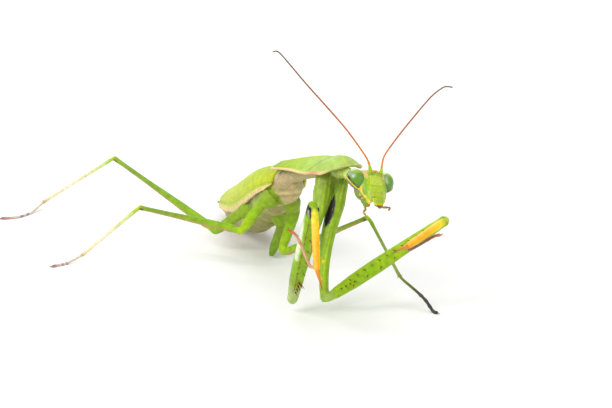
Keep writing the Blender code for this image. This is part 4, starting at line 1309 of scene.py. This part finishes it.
def mark_rims(colour, h):
    """The coloured rings round the eyes."""
    x, wide = h[:, 0], np.abs(h[:, 0])
    for side in ("right", "left"):
        face = np.array(rim_face(side))
        centre = np.array(eye_centre(side))
        turn = np.array(HEAD_TURN.inverted() @ EYE_TURN[side])
        away = np.linalg.norm(((h - centre) @ turn) / np.array(DOME_HALF), axis=1) - 1
        over = h @ face - RIM_OFF
        low_side = soft(wide, 2.2, 2.5) * (x * centre[0] > 0)
        near = (1 - soft(away, 0.1, 0.2)) * (x * centre[0] > 0)
        colour = mix(colour, mix(MAUVE, MUD, 0.2),
                     0.9 * near * low_side * soft(-over, 0.14, 0.24) * (1 - soft(-over, 0.5, 0.95)))
        colour = mix(colour, mix(GOLD, LIME, 0.2) if side == "right" else mix(OLIVE, GOLD, 0.35),
                     near * low_side * (1 - soft(-over, 0.1, 0.22)))
    return colour


for side in ("right", "left"):
    cup = egg(head_point(eye_centre(side)), DOME_HALF + Vector((0.06, 0.06, 0.06)), EYE_TURN[side], 60, 80)
    bmesh.ops.bisect_plane(cup, geom=cup.verts[:] + cup.edges[:] + cup.faces[:], dist=1e-5,
                           plane_co=rim_place(side, 0.0, 0.06), plane_no=HEAD_TURN @ rim_face(side),
                           clear_outer=True)
    bmesh.ops.holes_fill(cup, edges=cup.edges[:], sides=400)
    press_flat(cup, side, 0.62)
    shell.append(cup)
    shell.append(rim_tube(side, 0.02, -0.05, 0.095))
head_mesh = melt(together(shell), HEAD_VOXEL, 5)
h = head_co(points_of(head_mesh))
x, y, z = h.T
BEAD_AT = ((-0.42, 2.12), (0.42, 2.12), (0.0, 1.86))      # the three small eyes, across and up the head
BEADS = [h[np.argmin((x - at) ** 2 + (z - high) ** 2 + 9 * (y > -0.4))] for at, high in BEAD_AT]
tint(head_mesh, mark_rims(mark_cheeks(paint_face(h), h), h))
hand_over("head_shell", head_mesh, HEAD_SHELL, ["head"])


# ---------------------------------------------------------------- eyes
def eye_glaze(side):
    """Glossy facets over the stored tint."""
    mat, tree, shader = finish_of("eye_" + side,
                                  {"Roughness": 0.22, "Coat Weight": 0.25, "Coat Roughness": 0.06})
    link(tree, stored_tint(tree), "Color", shader, "Base Color")
    where = node(tree, "TexCoord")
    cells = node(tree, "TexVoronoi", {"Scale": 1 / (0.055 * MM), "Randomness": 0.35})
    link(tree, where, "Object", cells, "Vector")
    rise = node(tree, "Bump", {"Strength": 0.35, "Distance": 0.006 * MM})
    rise.invert = True
    link(tree, cells, "Distance", rise, "Height")
    link(tree, rise, "Normal", shader, "Normal")
    return mat


PUPIL = {"right": ((-4.26, -0.2, 1.03), (-4.16, -0.4, 0.55)),
         "left": ((2.05, -1.143, 0.2), (2.1, -1.12, -0.05))}


def paint_eye(h, side):
    """Green dome, darker towards the face and the rim, with painted pale reflections, a painted shadow in
    its upper outer corner and the false pupil.
    """
    wide = np.abs(h[:, 0])
    over = h @ np.array(rim_face(side)) - RIM_OFF
    colour = mix(tone("5A9000") + 0 * h, tone("94BC00"), soft(h[:, 2], 0.9, 2.2))
    colour = mix(colour, tone("336030"), 0.75 * (1 - soft(wide, 1.6, 2.4)))
    colour = mix(colour, tone("2E4A30"), 0.8 * (1 - soft(over, 0.1, 0.6)))
    colour = mix(colour, tone("86A26A"), 0.5 * soft(wide, 2.9, 3.9) * soft(h[:, 2], 0.3, 1.2))
    sign = 1 if side == "left" else -1
    colour = mix(colour, tone("9CC410"), 0.5 * capsule(h, (3.15 * sign, -1.15, 1.7),
                                                       (2.9 * sign, -1.2, 1.9), 0.4, edge=0.6))
    colour = mix(colour, tone("4E7A52"), 0.5 * capsule(h, (2.6 * sign, -0.97, -0.48),
                                                       (2.5 * sign, -1.1, 0.0), 0.3, edge=0.5))
    # Painted reflections: a blue-grey sheen on the right eye, a grey-green patch on the left
    if side == "right":
        colour = mix(colour, tone("9DB2A4"), 0.6 * capsule(h, (-4.02, -0.2, 1.5), (-3.66, -1.05, 0.95),
                                                           0.3, 0.35, 0.45))
    else:
        colour = mix(colour, tone("A9BE98"), 0.75 * capsule(h, (2.05, -1.31, 1.15), (2.0, -1.35, 0.3), 0.4,
                                                            edge=0.4))
    # Painted shadow at the eye's upper outer corner
    colour = mix(colour, INK, 0.7 * capsule(h, (4.3 * sign, 0.25, 1.6), (3.86 * sign, -0.28, 2.16), 0.2,
                                            0.14, 0.13))
    spot = capsule(h, PUPIL[side][0], PUPIL[side][1], 0.2, 0.15, 0.12)
    return mix(colour, INK, 0.95 * spot)


for side in ("right", "left"):
    ball = egg(head_point(eye_centre(side)), DOME_HALF, EYE_TURN[side], 110, 150)
    bmesh.ops.bisect_plane(ball, geom=ball.verts[:] + ball.edges[:] + ball.faces[:], dist=1e-6,
                           plane_co=rim_place(side, 0.0, 0.0, -0.25), plane_no=HEAD_TURN @ rim_face(side),
                           clear_inner=True)
    bmesh.ops.holes_fill(ball, edges=ball.edges[:], sides=600)
    bmesh.ops.recalc_face_normals(ball, faces=ball.faces[:])
    dome = to_mesh(ball)
    tint(dome, paint_eye(head_co(points_of(dome)), side))
    hand_over("eye_" + side, dome, eye_glaze(side), ["eye_" + side])

for i, place in enumerate(BEADS):
    bead = to_mesh(egg(head_point(place), (0.17, 0.17, 0.2), HEAD_TURN, 14, 18))
    tint(bead, points_of(bead) * 0 + tone("E88A2A"))
    hand_over("small_eye_%d" % (i + 1), bead, THORNS)


# ---------------------------------------------------------------- mouth parts
def lip_folds(t, a):
    """Two shallow folds down the front of the lip."""
    keep = min(1, 6 * t, 6 * (1 - t))
    return -0.16 * math.exp(-((abs(math.cos(a)) - 0.72) / 0.1) ** 2) * (math.sin(a) > 0) * keep


lip = head_line(((0.1, -1.35, -2.5), (0.17, -1.5, -3.2), (0.25, -1.45, -4.1)),
                ((0, 1.0, 0.3), (0.25, 1.08, 0.42), (0.6, 1.02, 0.38), (0.85, 0.8, 0.28), (1, 0.5, 0.2)),
                relief=lip_folds)
lip_mesh = to_mesh(limb_tube(lip, 0.04, 64))
co = points_of(lip_mesh)
t, a, _ = lip.near(co)
colour = mix(mix(FRESH, LIME, 0.3) + 0 * co, mix(PEACH, LIME, 0.5),
             0.6 * (1 - soft(t, 0.05, 0.25)) * soft(-np.cos(a), -0.2, 0.6))
colour = mix(colour, mix(LEAF, FRESH, 0.5), 0.6 * np.exp(-((t - 0.55) / 0.12) ** 2))
colour = mix(colour, mix(GOLD, LIME, 0.3), 0.5 * soft(np.abs(np.cos(a)), 0.95, 1.0))
colour = mix(colour, GOLD, soft(t, 0.84, 0.91))
colour = mix(colour, mix(RUST, BRICK, 0.3), soft(t, 0.9, 0.97))
tint(lip_mesh, colour)
hand_over("upper_lip", lip_mesh, HEAD_SHELL, ["upper_lip"])
for side, sign in (("left", 1), ("right", -1)):
    jaw = head_line(((1.35 * sign, -0.1, -2.3), (1.25 * sign, -0.15, -3.1), (1.0 * sign, -0.3, -3.95)),
                    ((0, 0.7, 0.66), (0.4, 0.72, 0.62), (0.8, 0.45, 0.42), (1, 0.28, 0.28)),
                    relief=flutes(3, 0.12))
    jaw_mesh = to_mesh(limb_tube(jaw, 0.05, 48))
    co = points_of(jaw_mesh)
    t, _, _ = jaw.near(co)
    tint(jaw_mesh, mix(mix(OLIVE, LEAF, 0.6) + 0 * co, mix(MUD, RUST, 0.5), soft(t, 0.8, 0.97)))
    hand_over("jaw_" + side, jaw_mesh, HEAD_SHELL, ["jaw_" + side])
    palp = head_line(MOUTH_FEELER[side],
                     ((0, 0.22, 0.22), (0.3, 0.23, 0.23), (0.36, 0.14, 0.14), (0.42, 0.19, 0.19),
                      (0.62, 0.19, 0.19),
                      (0.67, 0.12, 0.12), (0.72, 0.16, 0.16), (0.9, 0.17, 0.17), (1, 0.12, 0.12)))
    palp_mesh = to_mesh(limb_tube(palp, 0.06, 24))
    co = points_of(palp_mesh)
    t, _, _ = palp.near(co)
    colour = ramp(t, [(0, mix(LEAF, OLIVE, 0.4)), (0.3, mix(LIME, OLIVE, 0.3)),
                      (0.36, mix(OLIVE, RUST, 0.4)), (0.42, mix(LIME, OLIVE, 0.4)),
                      (0.65, mix(OLIVE, RUST, 0.6)), (0.72, mix(AMBER, OLIVE, 0.5)),
                      (1, mix(RUST, OLIVE, 0.4))])
    tint(palp_mesh, colour)
    hand_over("mouth_feeler_" + side, palp_mesh, FEELER, ["mouth_feeler_" + side])


# ---------------------------------------------------------------- feelers
def walk(start, legs):
    """Places along a line given as steps of (length, azimuth, rise)."""
    places = [Vector(start)]
    for length, azimuth, rise in legs:
        az, up = math.radians(azimuth), math.radians(rise)
        way = Vector((math.cos(az) * math.cos(up), math.sin(az) * math.cos(up), math.sin(up)))
        places.append(places[-1] + way * length)
    return places


FEELER_RINGS = 46


def feeler_rings(t, a):
    """Shallow rings between the feeler's segments, past its thick root."""
    if t < 0.08:
        return 0.0
    return -0.14 * (0.5 + 0.5 * math.cos(2 * math.pi * FEELER_RINGS * t)) ** 4


for side in ("left", "right"):
    line = walk(head_point(ANTENNA_BASE[side]), ANTENNA_RUN[side])
    sizes = [(0, 0.26, 0.26), (0.03, 0.3, 0.3), (0.05, 0.18, 0.18), (0.06, 0.22, 0.22), (0.075, 0.15, 0.15)]
    feeler = Limb(line, sizes + [(0.5, 0.145, 0.145), (1, 0.12, 0.12)], (0.2, -1, 0),
                  relief=feeler_rings)
    mesh = to_mesh(limb_tube(feeler, 0.085, 18))
    co = points_of(mesh)
    t, _, _ = feeler.near(co)
    colour = ramp(t, [(0, mix(FRESH, LIME, 0.5)), (0.045, mix(FRESH, LIME, 0.3)),
                      (0.07, mix(RUST, AMBER, 0.35)), (0.3, mix(RUST, AMBER, 0.12)),
                      (0.6, mix(RUST, MUD, 0.5)), (1, mix(MUD, SLATE, 0.5))])
    tint(mesh, colour)
    hand_over("feeler_" + side, mesh, FEELER, ["feeler_" + side])


# ---------------------------------------------------------------- spines and claws
thorns = []
shades = []
for root, tip, thick, near_colour, far_colour, bend in THORN_PLAN:
    bm = thorn(root, tip, thick, bend)
    axis = np.array(tip - root)
    k = np.clip((np.array([v.co for v in bm.verts]) - np.array(root)) @ axis / (axis @ axis), 0, 1)
    shades.append(mix(near_colour, far_colour, k ** 1.5))
    thorns.append(bm)
mesh = to_mesh(together(thorns))
tint(mesh, np.concatenate(shades))
hand_over("spines_and_claws", mesh, THORNS)


# ---------------------------------------------------------------- camera, floor and lights
def stage_point(p):
    """A place in millimetres on the body's line, set into the frame."""
    return (Vector(p) - MIDDLE) * MM


eye_data = bpy.data.cameras.new("camera")
camera = placed("camera", eye_data)
camera.location = stage_point(CAMERA_AT)
look = stage_point(CAMERA_LOOK) - camera.location
camera.rotation_euler = look.to_track_quat("-Z", "Y").to_euler()
eye_data.sensor_width = SENSOR_WIDE
eye_data.lens = LENS
eye_data.clip_start = 0.01
eye_data.clip_end = 10.0
bpy.context.scene.camera = camera

bm = bmesh.new()
bmesh.ops.create_grid(bm, x_segments=1, y_segments=1, size=3.0)
floor = placed("floor", to_mesh(bm))
paper = bpy.data.materials.new("floor paper")
paper.use_nodes = True
paper.node_tree.nodes["Principled BSDF"].inputs["Base Color"].default_value = (0.9, 0.9, 0.9, 1)
paper.node_tree.nodes["Principled BSDF"].inputs["Roughness"].default_value = 0.8
floor.data.materials.append(paper)


def lamp(name, place, target, size, power, colour=(1, 1, 1)):
    data = bpy.data.lights.new(name, "AREA")
    data.shape = "DISK"
    data.size = size
    data.energy = power
    data.color = colour
    light = placed(name, data)
    light.location = stage_point(place)
    light.rotation_euler = (stage_point(target) - light.location).to_track_quat("-Z", "Y").to_euler()


lamp("key", (-300, -140, 300), (0, 20, 12), 0.26, 1.0, (1.0, 0.98, 0.95))
lamp("fill", (260, -260, 160), (0, 10, 12), 0.3, 0.15, (0.95, 0.98, 1.0))
lamp("rim", (40, 300, 260), (0, 20, 12), 0.25, 0.4)
world = bpy.data.worlds.new("studio")
bpy.context.scene.world = world
world.use_nodes = True
world.node_tree.nodes["Background"].inputs["Color"].default_value = (1.0, 1.0, 1.0, 1)
world.node_tree.nodes["Background"].inputs["Strength"].default_value = 0.8
bpy.context.scene.view_settings.view_transform = "Standard"
